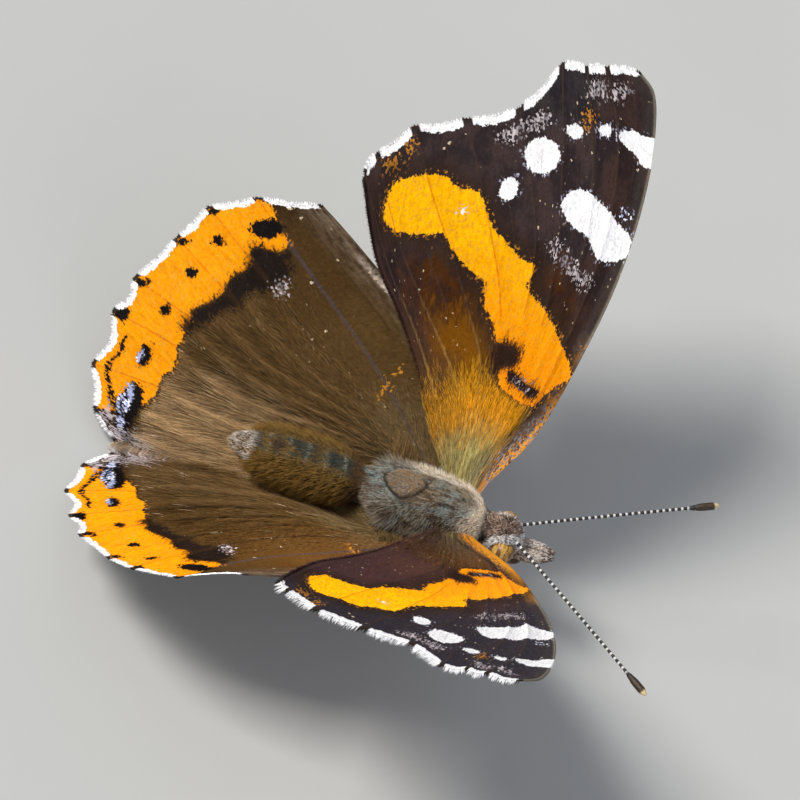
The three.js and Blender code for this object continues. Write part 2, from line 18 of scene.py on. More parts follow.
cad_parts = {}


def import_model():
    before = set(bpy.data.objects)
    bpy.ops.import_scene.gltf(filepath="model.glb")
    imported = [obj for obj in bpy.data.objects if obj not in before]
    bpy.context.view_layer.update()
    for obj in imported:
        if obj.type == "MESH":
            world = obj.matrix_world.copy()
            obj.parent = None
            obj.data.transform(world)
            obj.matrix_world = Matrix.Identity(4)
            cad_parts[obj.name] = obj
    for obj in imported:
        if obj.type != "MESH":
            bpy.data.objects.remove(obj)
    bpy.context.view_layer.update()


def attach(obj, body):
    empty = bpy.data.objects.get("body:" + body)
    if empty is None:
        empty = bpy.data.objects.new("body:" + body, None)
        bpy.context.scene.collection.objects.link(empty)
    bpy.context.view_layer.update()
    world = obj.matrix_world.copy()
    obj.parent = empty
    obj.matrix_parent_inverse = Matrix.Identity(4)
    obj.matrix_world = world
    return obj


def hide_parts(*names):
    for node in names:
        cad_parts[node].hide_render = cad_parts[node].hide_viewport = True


Array = np.ndarray
Colour = tuple[float, float, float]
Place = tuple[float, float, float]
Pair = tuple[float, float]

LOG = logging.getLogger("butterfly")
SEED = 20
NEVER = 1e-9
BAKE_MAP = "OFBake"
BLADE_POINTS = 7
ONLY_FOR_COATS = ("way", "column", "along")
MM = 0.001

# Millimetres on the body or on the wing
FAR = -9.0
SEGMENT = 1.32
TAIL_LENGTH = 14.25
FEELER_RING = 0.43
EYE_MIDDLE = (5.85, 1.25, -1.26)
WING_MAP_FROM = (-5.0, -28.0)
WING_MAP_SIZE = (36.0, 38.0)

# Shares of the map OFBake
TUFT_PATCH = 0.003

# Ways on the body
BACKWARD = np.array([-1.0, 0.0, 0.0])
UPWARD = np.array([0.0, 0.0, 1.0])


class Side(Enum):
    """The two sides of the insect, by the sign of their places to the left."""

    LEFT = 1
    RIGHT = -1

    @property
    def word(self) -> str:
        """The side's name, as the nodes have it."""
        return self.name.lower()


class WingKind(Enum):
    """The two kinds of wing, by the names of their nodes."""

    FORE = "forewing"
    HIND = "hindwing"


# Shapes in plain numbers


def smoothstep(values: Array | float, low: float, high: float) -> Array:
    """Values eased from 0 at low to 1 at high."""
    share = np.clip((np.asarray(values, float) - low) / (high - low), 0, 1)
    return share * share * (3 - 2 * share)


def unit(ways: Array) -> Array:
    """Ways of length one."""
    return ways / np.maximum(np.linalg.norm(ways, axis=-1, keepdims=True), 1e-9)


def smooth_run(points: Any, steps: int = 24) -> Array:
    """Points along the smooth curve that the solids use.

    Args:
        points: The places that the curve passes through.
        steps: Steps between two of them.

    Returns:
        The curve's points, in order.
    """
    given = np.asarray(points, float)
    padded = np.vstack([2 * given[0] - given[1], given, 2 * given[-1] - given[-2]])
    share = np.linspace(0, 1, steps, endpoint=False)[:, None]
    parts = []
    for a, b, c, d in zip(padded, padded[1:], padded[2:], padded[3:], strict=False):
        before, here, after = (
            max(float(np.linalg.norm(gap)) ** 0.5, 1e-4) for gap in (b - a, c - b, d - c)
        )
        leave = ((b - a) / before - (c - a) / (before + here) + (c - b) / here) * here
        arrive = ((c - b) / here - (d - b) / (here + after) + (d - c) / after) * here
        square = 3 * (c - b) - 2 * leave - arrive
        cube = 2 * (b - c) + leave + arrive
        parts.append(b + share * (leave + share * (square + share * cube)))
    return np.vstack([*parts, given[-1:]])


def at_shares(run: Array, shares: Array) -> Array:
    """Points at shares of a run's length.

    Args:
        run: The run's points, in order.
        shares: Shares of its length, from 0 to 1.

    Returns:
        The points.
    """
    lengths = np.linalg.norm(np.diff(run, axis=0), axis=1)
    reached = np.concatenate([[0], np.cumsum(lengths)])
    return np.stack([np.interp(shares * reached[-1], reached, axis) for axis in run.T], axis=-1)


def distance_to(places: Array, run: Array) -> Array:
    """How far each place lies from a run of short straight steps.

    Args:
        places: Places on the wing.
        run: The run's points, in order.

    Returns:
        A distance for each place.
    """
    nearest = np.full(len(places), np.inf)
    for start, end in zip(run, run[1:], strict=False):
        step = end - start
        share = np.clip((places - start) @ step / max(step @ step, 1e-12), 0, 1)
        gap = np.linalg.norm(places - start - share[:, None] * step, axis=1)
        nearest = np.minimum(nearest, gap)
    return nearest


@dataclass(frozen=True)
class Stance:
    """How the insect stands: its pitch, its height and where its thorax lies along the row."""

    pitch: float = math.radians(4)
    height: float = 8.3
    middle: float = -2.191

    def turned(self, ways: Array) -> Array:
        """Ways on the body as ways in the row's frame.

        Args:
            ways: Ways on the body.

        Returns:
            The turned ways.
        """
        forward, left, up = np.moveaxis(np.asarray(ways, float), -1, 0)
        cos, sin = math.cos(self.pitch), math.sin(self.pitch)
        return np.stack([left, up * sin - forward * cos, forward * sin + up * cos], axis=-1)

    def placed(self, places: Array) -> Array:
        """Places on the body as points of the row's frame, in metres."""
        return (self.turned(places) + (0, self.middle, self.height)) * MM

    def on_floor(self, forward: float, left: float, up: float) -> Array:
        """The place on the body that stands up millimetres over the floor, under or over a spot.

        Args:
            forward: How far forward the spot is.
            left: How far left it is.
            up: Height over the floor.

        Returns:
            The place on the body.
        """
        cos, sin = math.cos(self.pitch), math.sin(self.pitch)
        back, over = -forward * cos, up - self.height
        return np.array([-back * cos + over * sin, left, back * sin + over * cos])


# Marks on the wings, in [span, chord] millimetres of the wing plane


@dataclass(frozen=True)
class Patch:
    """A marking with an outline of its own."""

    outline: tuple[Pair, ...]

    def depth(self, places: Array) -> Array:
        """How deep each place lies inside the outline; less than nothing outside it.

        Args:
            places: Places on the wing.

        Returns:
            A depth in millimetres for each place.
        """
        run = smooth_run([*self.outline, self.outline[0]], 5)
        inside = np.zeros(len(places), bool)
        for (x0, y0), (x1, y1) in zip(run, run[1:], strict=False):
            crosses = (y0 > places[:, 1]) != (y1 > places[:, 1])
            level = (places[:, 1] - y0) / (y1 - y0 if y1 != y0 else 1e-9)
            inside ^= crosses & (places[:, 0] < x0 + level * (x1 - x0))
        return np.where(inside, 1, -1) * distance_to(places, run)


@dataclass(frozen=True)
class Spot:
    """A round or oval marking: its middle, half sizes along span and chord, and turn in degrees."""

    middle: Pair
    half: Pair
    turn: float = 0.0

    def depth(self, places: Array) -> Array:
        """How deep each place lies inside the spot; less than nothing outside it.

        Args:
            places: Places on the wing.

        Returns:
            A depth in millimetres for each place.
        """
        cos, sin = math.cos(math.radians(self.turn)), math.sin(math.radians(self.turn))
        from_middle = places - np.array(self.middle)
        along = from_middle @ np.array([cos, sin]) / self.half[0]
        across = from_middle @ np.array([-sin, cos]) / self.half[1]
        return (1 - np.hypot(along, across)) * min(self.half)


@dataclass(frozen=True)
class Stroke:
    """A marking drawn as a line of even width."""

    path: tuple[Pair, ...]
    half_width: float

    def depth(self, places: Array) -> Array:
        """How deep each place lies inside the line; less than nothing outside it."""
        return self.half_width - distance_to(places, smooth_run(self.path, 5))


Mark = Patch | Spot | Stroke


@dataclass(frozen=True)
class Marks:
    """What is drawn on one kind of wing, each list by the name of the field that holds it."""

    band: tuple[Mark, ...]
    band_holes: tuple[Mark, ...] = ()
    white: tuple[Mark, ...] = ()
    black: tuple[Mark, ...] = ()
    shadow: tuple[Mark, ...] = ()
    blue: tuple[Mark, ...] = ()
    frost: tuple[Mark, ...] = ()
    gold: tuple[Mark, ...] = ()
    drawn: tuple[str, ...] = ("white", "black", "shadow", "blue", "frost", "gold")

    def fields(self, places: Array) -> dict[str, Array]:
        """The depth of each place inside the marks.

        Args:
            places: [span, chord] of each point of the wing.

        Returns:
            One array for each field of the wing's material.
        """

        def deepest(marks: tuple[Mark, ...]) -> Array:
            """The depth inside any of some marks."""
            depths = [mark.depth(places) for mark in marks]
            return np.max(depths, axis=0) if depths else np.full(len(places), FAR)

        found = {name: deepest(getattr(self, name)) for name in self.drawn}
        found["band"] = np.minimum(deepest(self.band), -deepest(self.band_holes))
        return found


FOREWING_MARKS = Marks(
    band=(
        Patch((
            (17.0, -9.3), (18.3, -9.1), (19.2, -8.1), (19.8, -5.6), (19.2, -4.9), (19.2, -3.4), (18.3, -2.6),
            (16.9, -1.7), (16.0, -0.2), (15.4, 0.5), (15.3, 1.4), (13.7, 1.3), (12.8, 2.3), (11.8, 3.4),
            (10.5, 4.3), (9.5, 5.0), (8.4, 5.5), (7.6, 4.7), (6.7, 3.9), (5.9, 3.4), (6.2, 2.0), (6.9, 0.9),
            (8.0, 0.7), (8.4, 1.6), (9.5, 1.4), (9.6, 0.2), (10.9, -0.5), (11.9, -1.3), (13.5, -1.7),
            (13.9, -2.6), (14.6, -3.8), (15.3, -4.5), (16.0, -5.1), (15.6, -6.4), (15.4, -8.1), (16.0, -9.2),
        )),
    ),
    band_holes=(Stroke(((7.6, 1.6), (7.1, 2.4), (6.8, 3.15)), 0.22),),
    white=(
        Spot((17.7, -4.0), (0.24, 0.24)),
        Spot((19.9, -1.4), (0.86, 0.58), 12),
        Spot((22.6, 0.3), (1.22, 1.2)),
        Spot((24.7, 2.1), (0.52, 0.56)),
        Spot((25.2, 4.1), (0.4, 0.46)),
        Patch((
            (25.35, 5.1), (25.55, 6.0), (25.4, 6.9), (25.4, 7.7), (24.4, 7.9), (23.4, 7.7), (23.35, 7.1),
            (23.9, 6.6), (24.4, 5.8), (24.9, 5.1),
        )),
        Patch((
            (19.5, 2.2), (20.5, 2.6), (20.95, 3.6), (20.5, 4.6), (19.8, 5.7), (19.1, 6.5), (18.5, 7.35),
            (17.2, 7.35), (16.6, 6.4), (16.65, 5.4), (17.4, 4.9), (18.0, 4.4), (18.3, 3.5), (18.9, 2.8),
        )),
    ),
    black=(
        Spot((7.5, 1.7), (0.42, 0.4), 30), Spot((7.1, 2.4), (0.3, 0.5), 30),
        Spot((6.8, 3.1), (0.48, 0.45), 30),
    ),
    shadow=(Spot((8.8, 0.9), (1.2, 1.0), 20), Stroke(((7.55, 1.65), (7.1, 2.4), (6.8, 3.1)), 0.5)),
    blue=(Spot((20.0, 6.7), (0.4, 0.5)),),
    frost=(
        Stroke(((23.2, -2.5), (24.2, -1.0), (25.2, -0.1)), 0.55),
        Spot((27.7, 3.0), (0.75, 0.8)),
        Spot((27.9, 4.5), (0.65, 0.65)),
        Stroke(((16.8, 2.6), (15.8, 3.6), (14.9, 5.0)), 0.5),
        Spot((7.2, 2.55), (0.3, 0.5), 30),
    ),
    gold=(Spot((25.7, 2.8), (0.9, 0.5)), Spot((19.7, -9.4), (0.8, 0.9)), Spot((21.4, -8.6), (0.7, 0.6))),
)
HINDWING_MARKS = Marks(
    band=(
        Patch((
            (15.6, -17.2), (14.9, -16.6), (13.9, -15.9), (12.9, -15.1), (12.2, -15.6), (12.1, -17.3),
            (10.7, -17.4), (9.9, -18.2), (9.3, -18.5), (8.7, -18.6), (8.0, -19.2), (7.3, -20.2), (6.2, -20.4),
            (5.2, -20.6), (4.3, -20.9), (3.1, -20.7), (2.4, -21.4), (1.4, -21.5), (0.4, -22.0), (-0.6, -23.4),
            (-0.8, -25.0), (-0.8, -28.0), (6.0, -28.5), (13.0, -26.0), (18.0, -20.0), (17.6, -17.6),
        )),
    ),
    black=(
        Spot((12.1, -19.7), (0.38, 0.44)),
        Spot((9.6, -21.0), (0.42, 0.42)),
        Spot((6.7, -22.2), (0.44, 0.4)),
        Spot((3.4, -22.9), (0.8, 0.52), 8),
        Spot((13.6, -16.7), (0.66, 1.15), -13),
        Spot((0.0, -23.2), (1.5, 0.85), 8),
        Spot((-1.4, -23.3), (0.8, 0.6)),
        Stroke(((4.4, -24.4), (3.2, -24.6), (2.1, -25.1), (0.6, -24.7), (-0.8, -24.1)), 0.13),
        Spot((5.9, -25.1), (0.5, 0.7), 12),
        Spot((8.2, -24.1), (0.32, 0.5), -20),
        Spot((11.5, -22.1), (0.28, 0.5), -28),
        Spot((14.0, -20.5), (0.26, 0.5), -33),
    ),
    shadow=(
        Patch((
            (12.5, -14.9), (12.2, -17.5), (10.6, -17.6), (9.9, -18.5), (8.7, -18.9), (7.9, -19.6),
            (7.2, -20.6), (5.7, -20.7), (6.3, -19.3), (7.4, -18.5), (8.0, -17.2), (9.1, -16.9), (9.5, -15.5),
            (10.5, -14.5), (11.6, -14.2),
        )),
    ),
    blue=(
        Spot((0.25, -23.5), (1.0, 0.45), 8),
        Spot((3.3, -23.2), (0.42, 0.2), 8),
        Spot((-1.4, -23.5), (0.55, 0.3)),
    ),
    frost=(
        Spot((9.9, -14.9), (0.7, 0.7)),
        Spot((-1.3, -24.6), (1.0, 0.8)),
        Stroke(((-1.9, -25.2), (-2.2, -24.0), (-2.5, -22.2), (-2.6, -20.0)), 0.75),
    ),
    gold=(Spot((5.5, -6.3), (1.2, 0.4), 20), Stroke(((4.9, -25.0), (2.2, -25.6), (-0.4, -24.9)), 0.25)),
)


# Materials


class Wire:
    """One value in a material, which Python's operators build on with Math nodes."""

    def __init__(self, recipe: "Recipe", socket: bpy.types.NodeSocket) -> None:
        """Wraps an output socket of the recipe's nodes."""
        self.recipe = recipe
        self.socket = socket

    def _maths(self, operation: str, first: "Wire | float", second: "Wire | float" = 0.0) -> "Wire":
        """The result of one Math node."""
        node = self.recipe.node("ShaderNodeMath", {"operation": operation}, {0: first, 1: second})
        return Wire(self.recipe, node.outputs[0])

    def __add__(self, other: "Wire | float") -> "Wire":
        """This plus the other."""
        return self._maths("ADD", self, other)

    __radd__ = __add__

    def __sub__(self, other: "Wire | float") -> "Wire":
        """This less the other."""
        return self._maths("SUBTRACT", self, other)

    def __rsub__(self, other: float) -> "Wire":
        """The other less this."""
        return self._maths("SUBTRACT", other, self)

    def __mul__(self, other: "Wire | float") -> "Wire":
        """This times the other."""
        return self._maths("MULTIPLY", self, other)

    __rmul__ = __mul__

    def __truediv__(self, other: "Wire | float") -> "Wire":
        """This divided by the other."""
        return self._maths("DIVIDE", self, other)

    def __abs__(self) -> "Wire":
        """This without its sign."""
        return self._maths("ABSOLUTE", self)

    def least(self, other: "Wire | float") -> "Wire":
        """The smaller of this and the other."""
        return self._maths("MINIMUM", self, other)

    def most(self, other: "Wire | float") -> "Wire":
        """The larger of this and the other."""
        return self._maths("MAXIMUM", self, other)

    def fraction(self) -> "Wire":
        """What is left of this over a whole number."""
        return self._maths("FRACT", self)

    def swing(self, by: float) -> "Wire":
        """What noise about one half adds to a place when it sways this much."""
        return (self - 0.5) * by

    def above(self, level: float, softness: float) -> "Wire":
        """A mask from 0 to 1 that is one half at a level, and as soft as it says."""
        return ((self - level) / softness + 0.5).most(0.0).least(1.0)

    def below(self, level: float, softness: float) -> "Wire":
        """The reverse of above."""
        return 1 - self.above(level, softness)


class Recipe:
    """A material that is put together node by node, with a colour that is laid on in layers."""

    def __init__(self, name: str) -> None:
        """Starts an empty material.

        Args:
            name: The material's name.
        """
        self.material = bpy.data.materials.new(name)
        self.material.use_nodes = True
        self.tree = self.material.node_tree
        self.tree.nodes.clear()
        self.colour: Wire | Colour = (0.0, 0.0, 0.0)
        self._fields: dict[str, bpy.types.Node] = {}

    def node(
        self, kind: str, settings: dict[str, Any] | None = None, sockets: dict[Any, Any] | None = None
    ) -> Any:
        """Adds a node.

        Args:
            kind: The node's type.
            settings: Its properties, which are set first.
            sockets: A value or a Wire for each input, by name or number.

        Returns:
            The node.
        """
        made = self.tree.nodes.new(kind)
        for key, value in (settings or {}).items():
            setattr(made, key, value)
        for key, value in (sockets or {}).items():
            if isinstance(value, Wire):
                self.tree.links.new(value.socket, made.inputs[key])
            elif isinstance(value, tuple) and made.inputs[key].type == "RGBA":
                made.inputs[key].default_value = (*value, 1.0)
            else:
                made.inputs[key].default_value = value
        return made

    def _attribute(self, name: str) -> bpy.types.Node:
        """The node that reads a field of the mesh.

        Args:
            name: The field's name.

        Returns:
            The node.
        """
        if name not in self._fields:
            self._fields[name] = self.node("ShaderNodeAttribute", {"attribute_name": name})
        return self._fields[name]

    def __getitem__(self, name: str) -> Wire:
        """A number that the mesh holds at each point."""
        return Wire(self, self._attribute(name).outputs["Fac"])

    def way(self, name: str) -> Wire:
        """A vector that the mesh holds at each point."""
        return Wire(self, self._attribute(name).outputs["Vector"])

    def parts(self, vector: Wire) -> tuple[Wire, Wire, Wire]:
        """The three numbers of a vector."""
        split = self.node("ShaderNodeSeparateXYZ", {}, {0: vector})
        return Wire(self, split.outputs[0]), Wire(self, split.outputs[1]), Wire(self, split.outputs[2])

    def scaled(self, vector: Wire, by: Place) -> Wire:
        """A vector stretched along its axes."""
        made = self.node("ShaderNodeVectorMath", {"operation": "MULTIPLY"}, {0: vector, 1: by})
        return Wire(self, made.outputs[0])

    def noise(self, vector: Wire, by: Place, detail: float = 2.0, roughness: float = 0.55) -> Wire:
        """Soft noise from 0 to 1, of about one swing in each unit of the stretched vector."""
        sockets = {"Vector": self.scaled(vector, by), "Scale": 1.0, "Detail": detail, "Roughness": roughness}
        return Wire(self, self.node("ShaderNodeTexNoise", {}, sockets).outputs[0])

    def cells(self, vector: Wire, by: Place) -> tuple[Wire, Wire]:
        """Cells of about one unit of the stretched vector.

        Args:
            vector: Where the cells lie.
            by: How far it is stretched along its axes.

        Returns:
            A number from 0 to 1 for each cell, and how far the cell's middle is.
        """
        made = self.node("ShaderNodeTexVoronoi", {}, {"Vector": self.scaled(vector, by), "Scale": 1.0})
        split = self.node("ShaderNodeSeparateColor", {}, {0: Wire(self, made.outputs["Color"])})
        return Wire(self, split.outputs[0]), Wire(self, made.outputs["Distance"])

    def mix(self, under: "Wire | Colour", over: "Wire | Colour", mask: "Wire | float") -> Wire:
        """A colour laid over another by a mask."""
        made = self.node("ShaderNodeMix", {"data_type": "RGBA"}, {0: mask, 6: under, 7: over})
        return Wire(self, made.outputs[2])

    def lay(self, over: "Wire | Colour", mask: "Wire | float") -> None:
        """Lays a colour over the recipe's own, by a mask."""
        self.colour = self.mix(self.colour, over, mask)

    def lit(self, colour: "Wire | Colour", by: Wire) -> Wire:
        """A colour made lighter or darker by a number."""
        made = self.node("ShaderNodeVectorMath", {"operation": "SCALE"}, {0: colour, "Scale": by})
        return Wire(self, made.outputs[0])

    def surface(
        self, roughness: "Wire | float", height: Wire | None = None, depth: float = 0.02, **fixed: float
    ) -> bpy.types.Material:
        """Closes the recipe with its surface, in the recipe's own colour.

        Args:
            roughness: How dull it is.
            height: Relief from 0 to 1, if any.
            depth: How high the relief is, in millimetres.
            fixed: Other sockets of the surface that are the same all over.

        Returns:
            The material.
        """
        sockets: dict[str, Any] = {"Base Color": self.colour, "Roughness": roughness}
        sockets.update({key.replace("_", " "): value for key, value in fixed.items()})
        if height is not None:
            raised = {"Height": height, "Distance": depth * MM, "Strength": 1.0}
            bump = self.node("ShaderNodeBump", {}, raised)
            sockets["Normal"] = Wire(self, bump.outputs[0])
        shader = self.node("ShaderNodeBsdfPrincipled", {}, sockets)
        self.node("ShaderNodeOutputMaterial", {}, {"Surface": Wire(self, shader.outputs[0])})
        return self.material


class ScaleRecipe(Recipe):
    """The recipe of one side of a wing, with the grain of its scales.

    chance is a number for each scale, dome how far its middle is, streak noise that runs along the
    wing, and ragged how far the scales fray a mark's edge.
    """

    def __init__(self, name: str, size: Place, streak: Place, fineness: Pair, fray: float) -> None:
        """Starts the material with its grain.

        Args:
            name: The material's name.
            size: How many scales there are in a millimetre.
            streak: How often the streaks come in a millimetre.
            fineness: The streaks' detail and roughness.
            fray: How far the streaks fray a mark's edge, in millimetres.
        """
        super().__init__(name)
        self.grain = self.way("grain")
        self.chance, self.dome = self.cells(self.grain, size)
        self.streak = self.noise(self.grain, streak, *fineness)
        self.ragged = self.streak.swing(fray) + self.chance.swing(0.3)

    @cached_property
    def cloud(self) -> Wire:
        """Soft wide noise."""
        return self.noise(self.grain, (0.7, 0.35, 1.0))


@dataclass(frozen=True)
class WingFinish:
    """The scales of a wing: its ground, marks, fringe and hair.

    Zones are the ground's colours from the root out, each with the reach in millimetres where it
    starts.
    """

    kind: WingKind
    zones: tuple[tuple[float, Colour], ...]
    vein_gold: Colour
    vein_dark: Colour
    hair: Colour
    inner_hair: Colour
    band_tail: Colour
    band_front: Colour
    band_fray: float
    blue_rarity: float
    shade: Colour
    edge_ground: Colour = (0.045, 0.024, 0.02)
    ink: Colour = (0.011, 0.009, 0.012)
    # Painted sheen on the right forewing: purple-brown near the body and navy further out.
    purple: Colour = (0.075, 0.036, 0.038)
    navy: Colour = (0.03, 0.027, 0.038)
    # Painted warm glow on the front of the right hindwing.
    rust: Colour = (0.2, 0.075, 0.012)
    # Painted sheen: a purple-grey line along the hindwing's second vein.
    lead: Colour = (0.1, 0.085, 0.11)
    stray: Colour = (0.5, 0.4, 0.26)
    gold: Colour = (0.5, 0.2, 0.02)
    frost: tuple[Colour, Colour] = ((0.17, 0.16, 0.18), (0.55, 0.48, 0.5))
    edge_rust: tuple[Colour, Colour] = ((0.12, 0.075, 0.055), (0.74, 0.29, 0.02))
    lilac: Colour = (0.27, 0.25, 0.27)
    edge_outer: tuple[Colour, Colour] = ((0.05, 0.042, 0.04), (0.42, 0.38, 0.28))
    # Painted shade in the crease beside the forewing's front strip.
    crease: Colour = (0.035, 0.02, 0.012)
    gloss: tuple[Colour, Colour] = ((0.06, 0.04, 0.028), (0.24, 0.18, 0.13))
    # Painted highlight along the hindwing's front fold.
    front_line: Colour = (0.66, 0.57, 0.5)
    band_rays: Colour = (0.62, 0.13, 0.004)
    band_sparks: Colour = (1.0, 0.62, 0.02)
    band_rim: Colour = (0.03, 0.017, 0.012)
    black: Colour = (0.006, 0.004, 0.004)
    blue: tuple[Colour, Colour] = ((0.36, 0.4, 0.62), (0.72, 0.74, 0.85))
    white: Colour = (0.9, 0.9, 0.92)
    white_dust: Colour = (0.45, 0.46, 0.6)
    fringe_shade: Colour = (0.03, 0.022, 0.018)
    under_ground: Colour = (0.026, 0.017, 0.016)
    under_vein: Colour = (0.24, 0.18, 0.12)
    under_fringe: Colour = (0.62, 0.58, 0.52)
    marbling: tuple[Colour, Colour] = ((0.02, 0.013, 0.01), (0.14, 0.095, 0.065))
    wisps: Colour = (0.42, 0.34, 0.26)
    marble_dust: Colour = (0.2, 0.17, 0.15)
    marble_blue: Colour = (0.12, 0.12, 0.19)
    cream: Colour = (0.62, 0.54, 0.4)
    eye_spots: tuple[Colour, Colour, Colour] = ((0.2, 0.15, 0.09), (0.02, 0.02, 0.025), (0.16, 0.24, 0.3))
    under_line: Colour = (0.2, 0.17, 0.12)
    under_edge: Colour = (0.36, 0.26, 0.19)
    under_band: tuple[Colour, Colour] = ((0.74, 0.22, 0.02), (0.62, 0.06, 0.04))
    under_arc: Colour = (0.14, 0.26, 0.5)
    under_white: Colour = (0.74, 0.71, 0.68)
    scale_size: Place = (10.5, 6.0, 1.0)

    def upper(self) -> bpy.types.Material:
        """The upper side's material.

        Returns:
            The material.
        """
        r = ScaleRecipe(f"{self.kind.value}_upper_scales", self.scale_size, (5.5, 0.7, 1.0), (4.0, 0.65), 1.1)
        self._veins(r, self._ground(r))
        self._costa(r)
        r.lay(self.stray, r.chance.above(0.991, 0.004) * r.streak.above(0.5, 0.1))
        specks = r.chance.swing(1.1) + r.streak.swing(0.7)
        r.lay(self.gold, (r["gold"] * 0.8 + specks).above(0.36, 0.16) * 0.85)
        self._band(r)
        self._marks(r)
        icy = r.mix(*self.frost, (r.streak + r.cloud.swing(0.6)).above(0.5, 0.2))
        r.lay(icy, (r["frost"] * 0.8 + specks).above(0.34, 0.2) * 0.9)
        self._fringe(r, self.white)
        bright = 0.45 + r.chance * 0.3 + r.streak * 0.8
        if self.kind is WingKind.HIND:
            # Painted light: the right hindwing's ground is brighter outside the band.
            bright = bright * (1 + r["turned_off"] * r["band"].below(-0.3, 0.3) * 0.6)
            # The pale inner hair near the abdomen is partly the hair's own tan colour and partly a painted
            # highlight on it.
            inner = (r["fan"] + r.cloud.swing(0.4)).above(0.68, 0.2) * r["reach"].above(5.0, 5.0)
            strand = r.mix(self.hair, self.inner_hair, inner)
        else:
            strand = r.mix(self.inner_hair, self.hair, (r["reach"] + r.streak.swing(6.0)).above(2.6, 1.8))
        # On the right wing the hair takes little of its own colour, so the painted sheen of the ground shows
        # through it.
        r.lay(strand, r["hairy"] * (0.5 - r["turned_off"] * 0.46))
        # Painted shade: the wing's hair is darker at its roots and lighter towards its tips.
        to_tip = 1 + r["hairy"] * (r["tip"] * 0.9 - 0.1)
        r.colour = r.lit(r.colour, bright * (0.5 + r["tone"]) * to_tip)
        relief = r.dome * -0.5 + r.streak * 0.9 + r.chance * 0.25
        return r.surface(0.6 - r.chance * 0.1, relief, Specular_IOR_Level=0.035)

    def under(self) -> bpy.types.Material:
        """The underside's material, with its marbled hind part and paler band.

        Returns:
            The material.
        """
        r = ScaleRecipe(f"{self.kind.value}_under_scales", self.scale_size, (5.0, 1.4, 1.0), (3.0, 0.55), 0.7)
        marbled = self._marbled(r)
        if self.kind is WingKind.HIND:
            self._hind_under(r, marbled)
        else:
            self._fore_under(r, marbled)
        r.lay(self.under_vein, (r["vein"] + r.streak.swing(0.1)).below(0.08, 0.08) * 0.45)
        self._fringe(r, self.under_fringe)
        r.colour = r.lit(r.colour, (0.72 + r.chance * 0.5) * (0.5 + r["tone"]))
        return r.surface(0.66, r.dome * -0.6 + r.chance * 0.4, Specular_IOR_Level=0.15)

    def _ground(self, r: ScaleRecipe) -> Wire:
        """Lays the ground's colours from the root out, with painted sheen on the right forewing and a painted
        warm glow on the right hindwing's front.

        Args:
            r: The recipe to lay them in.

        Returns:
            How near the root each place is, from 0 to 1.
        """
        reach = r["reach"]
        swayed = reach + r.streak.swing(11.0) + r.cloud.swing(2.0)
        r.colour = self.zones[0][1]
        for start, zone in self.zones[1:]:
            r.lay(zone, swayed.above(start, 2.4))
        fan = r["fan"] + r.cloud.swing(0.2)
        if self.kind is WingKind.FORE:
            edges = fan.above(0.8, 0.16) + fan.below(0.17, 0.12) * reach.above(3.0, 2.0)
            r.lay(self.edge_ground, edges.least(1.0) * 0.85)
            r.lay(self.ink, (r.cloud + r.streak.swing(0.5)).above(0.5, 0.14) * reach.above(12.0, 3.0) * 0.6)
            # Painted sheen: the right forewing is painted purple-brown, then navy towards the tip, for how
            # light falls on it.
            painted_sheen = r.mix(self.purple, self.navy, (reach - fan * 9.0 + r.streak.swing(4.0)).above(12.0, 4.0))
            r.lay(painted_sheen, r["turned_off"] * (reach + r.streak * 2.0).above(1.3, 1.2) * 0.85)
        else:
            # Painted warm glow along the right hindwing's front, for how light falls on that side.
            front = (fan + r.streak.swing(0.5)).below(0.32, 0.4) * reach.below(15.0, 7.0)
            r.lay(self.rust, front * r["turned_off"] * 0.36)
        return swayed.below(9.5, 7.0)

    def _veins(self, r: ScaleRecipe, near_root: Wire) -> None:
        """Lays the veins: golden near the root and dark further out, with the folds between, and less gold on
        the right wing as painted shade.

        Args:
            r: The recipe to lay them in.
            near_root: How near the root each place is, from 0 to 1.
        """
        vein = (r["vein"] + r.streak.swing(0.12)).below(0.075, 0.08)
        # Painted shade: the right wing's veins lose their gold near the root.
        golden = near_root * (1 - r["turned_off"] * 0.85)
        r.lay(r.mix(self.vein_dark, self.vein_gold, golden), vein * 0.62)
        r.lay(self.vein_dark, abs(r["fold"] + r.streak.swing(0.05)).below(0.05, 0.06) * 0.45)
        if self.kind is WingKind.HIND:
            # Painted sheen: a purple-grey line along the second vein.
            r.lay(self.lead, (r["lead"] + r.streak.swing(0.2)).below(0.1, 0.14) * 0.4)

    def _costa(self, r: ScaleRecipe) -> None:
        """Lays what runs along the wing's front edge, with a painted highlight line on the hindwing and a
        painted shade line in the forewing's crease.

        Args:
            r: The recipe to lay it in.
        """
        costal, reach = r["costal"], r["reach"]
        if self.kind is WingKind.HIND:
            wide = (costal + r.streak.swing(1.2)).below(1.3, 1.6)
            r.lay(r.mix(*self.gloss, r.streak.above(0.5, 0.22)), wide * reach.above(4.0, 3.0) * 0.55)
            # Painted highlight: a broken pale line along the hindwing's front fold.
            line = abs(costal - 0.45).below(0.2, 0.24) * reach.above(7.6, 1.6) * reach.below(14.0, 2.5)
            broken = (r.streak * 1.3 - 0.1 + r.chance.swing(0.5)).most(0.0).least(1.0)
            r.lay(self.front_line, line * broken)
            return
        tapered = costal + reach.least(9.0) * 0.065
        near = (tapered + r.streak.swing(0.6)).below(1.42, 0.4)
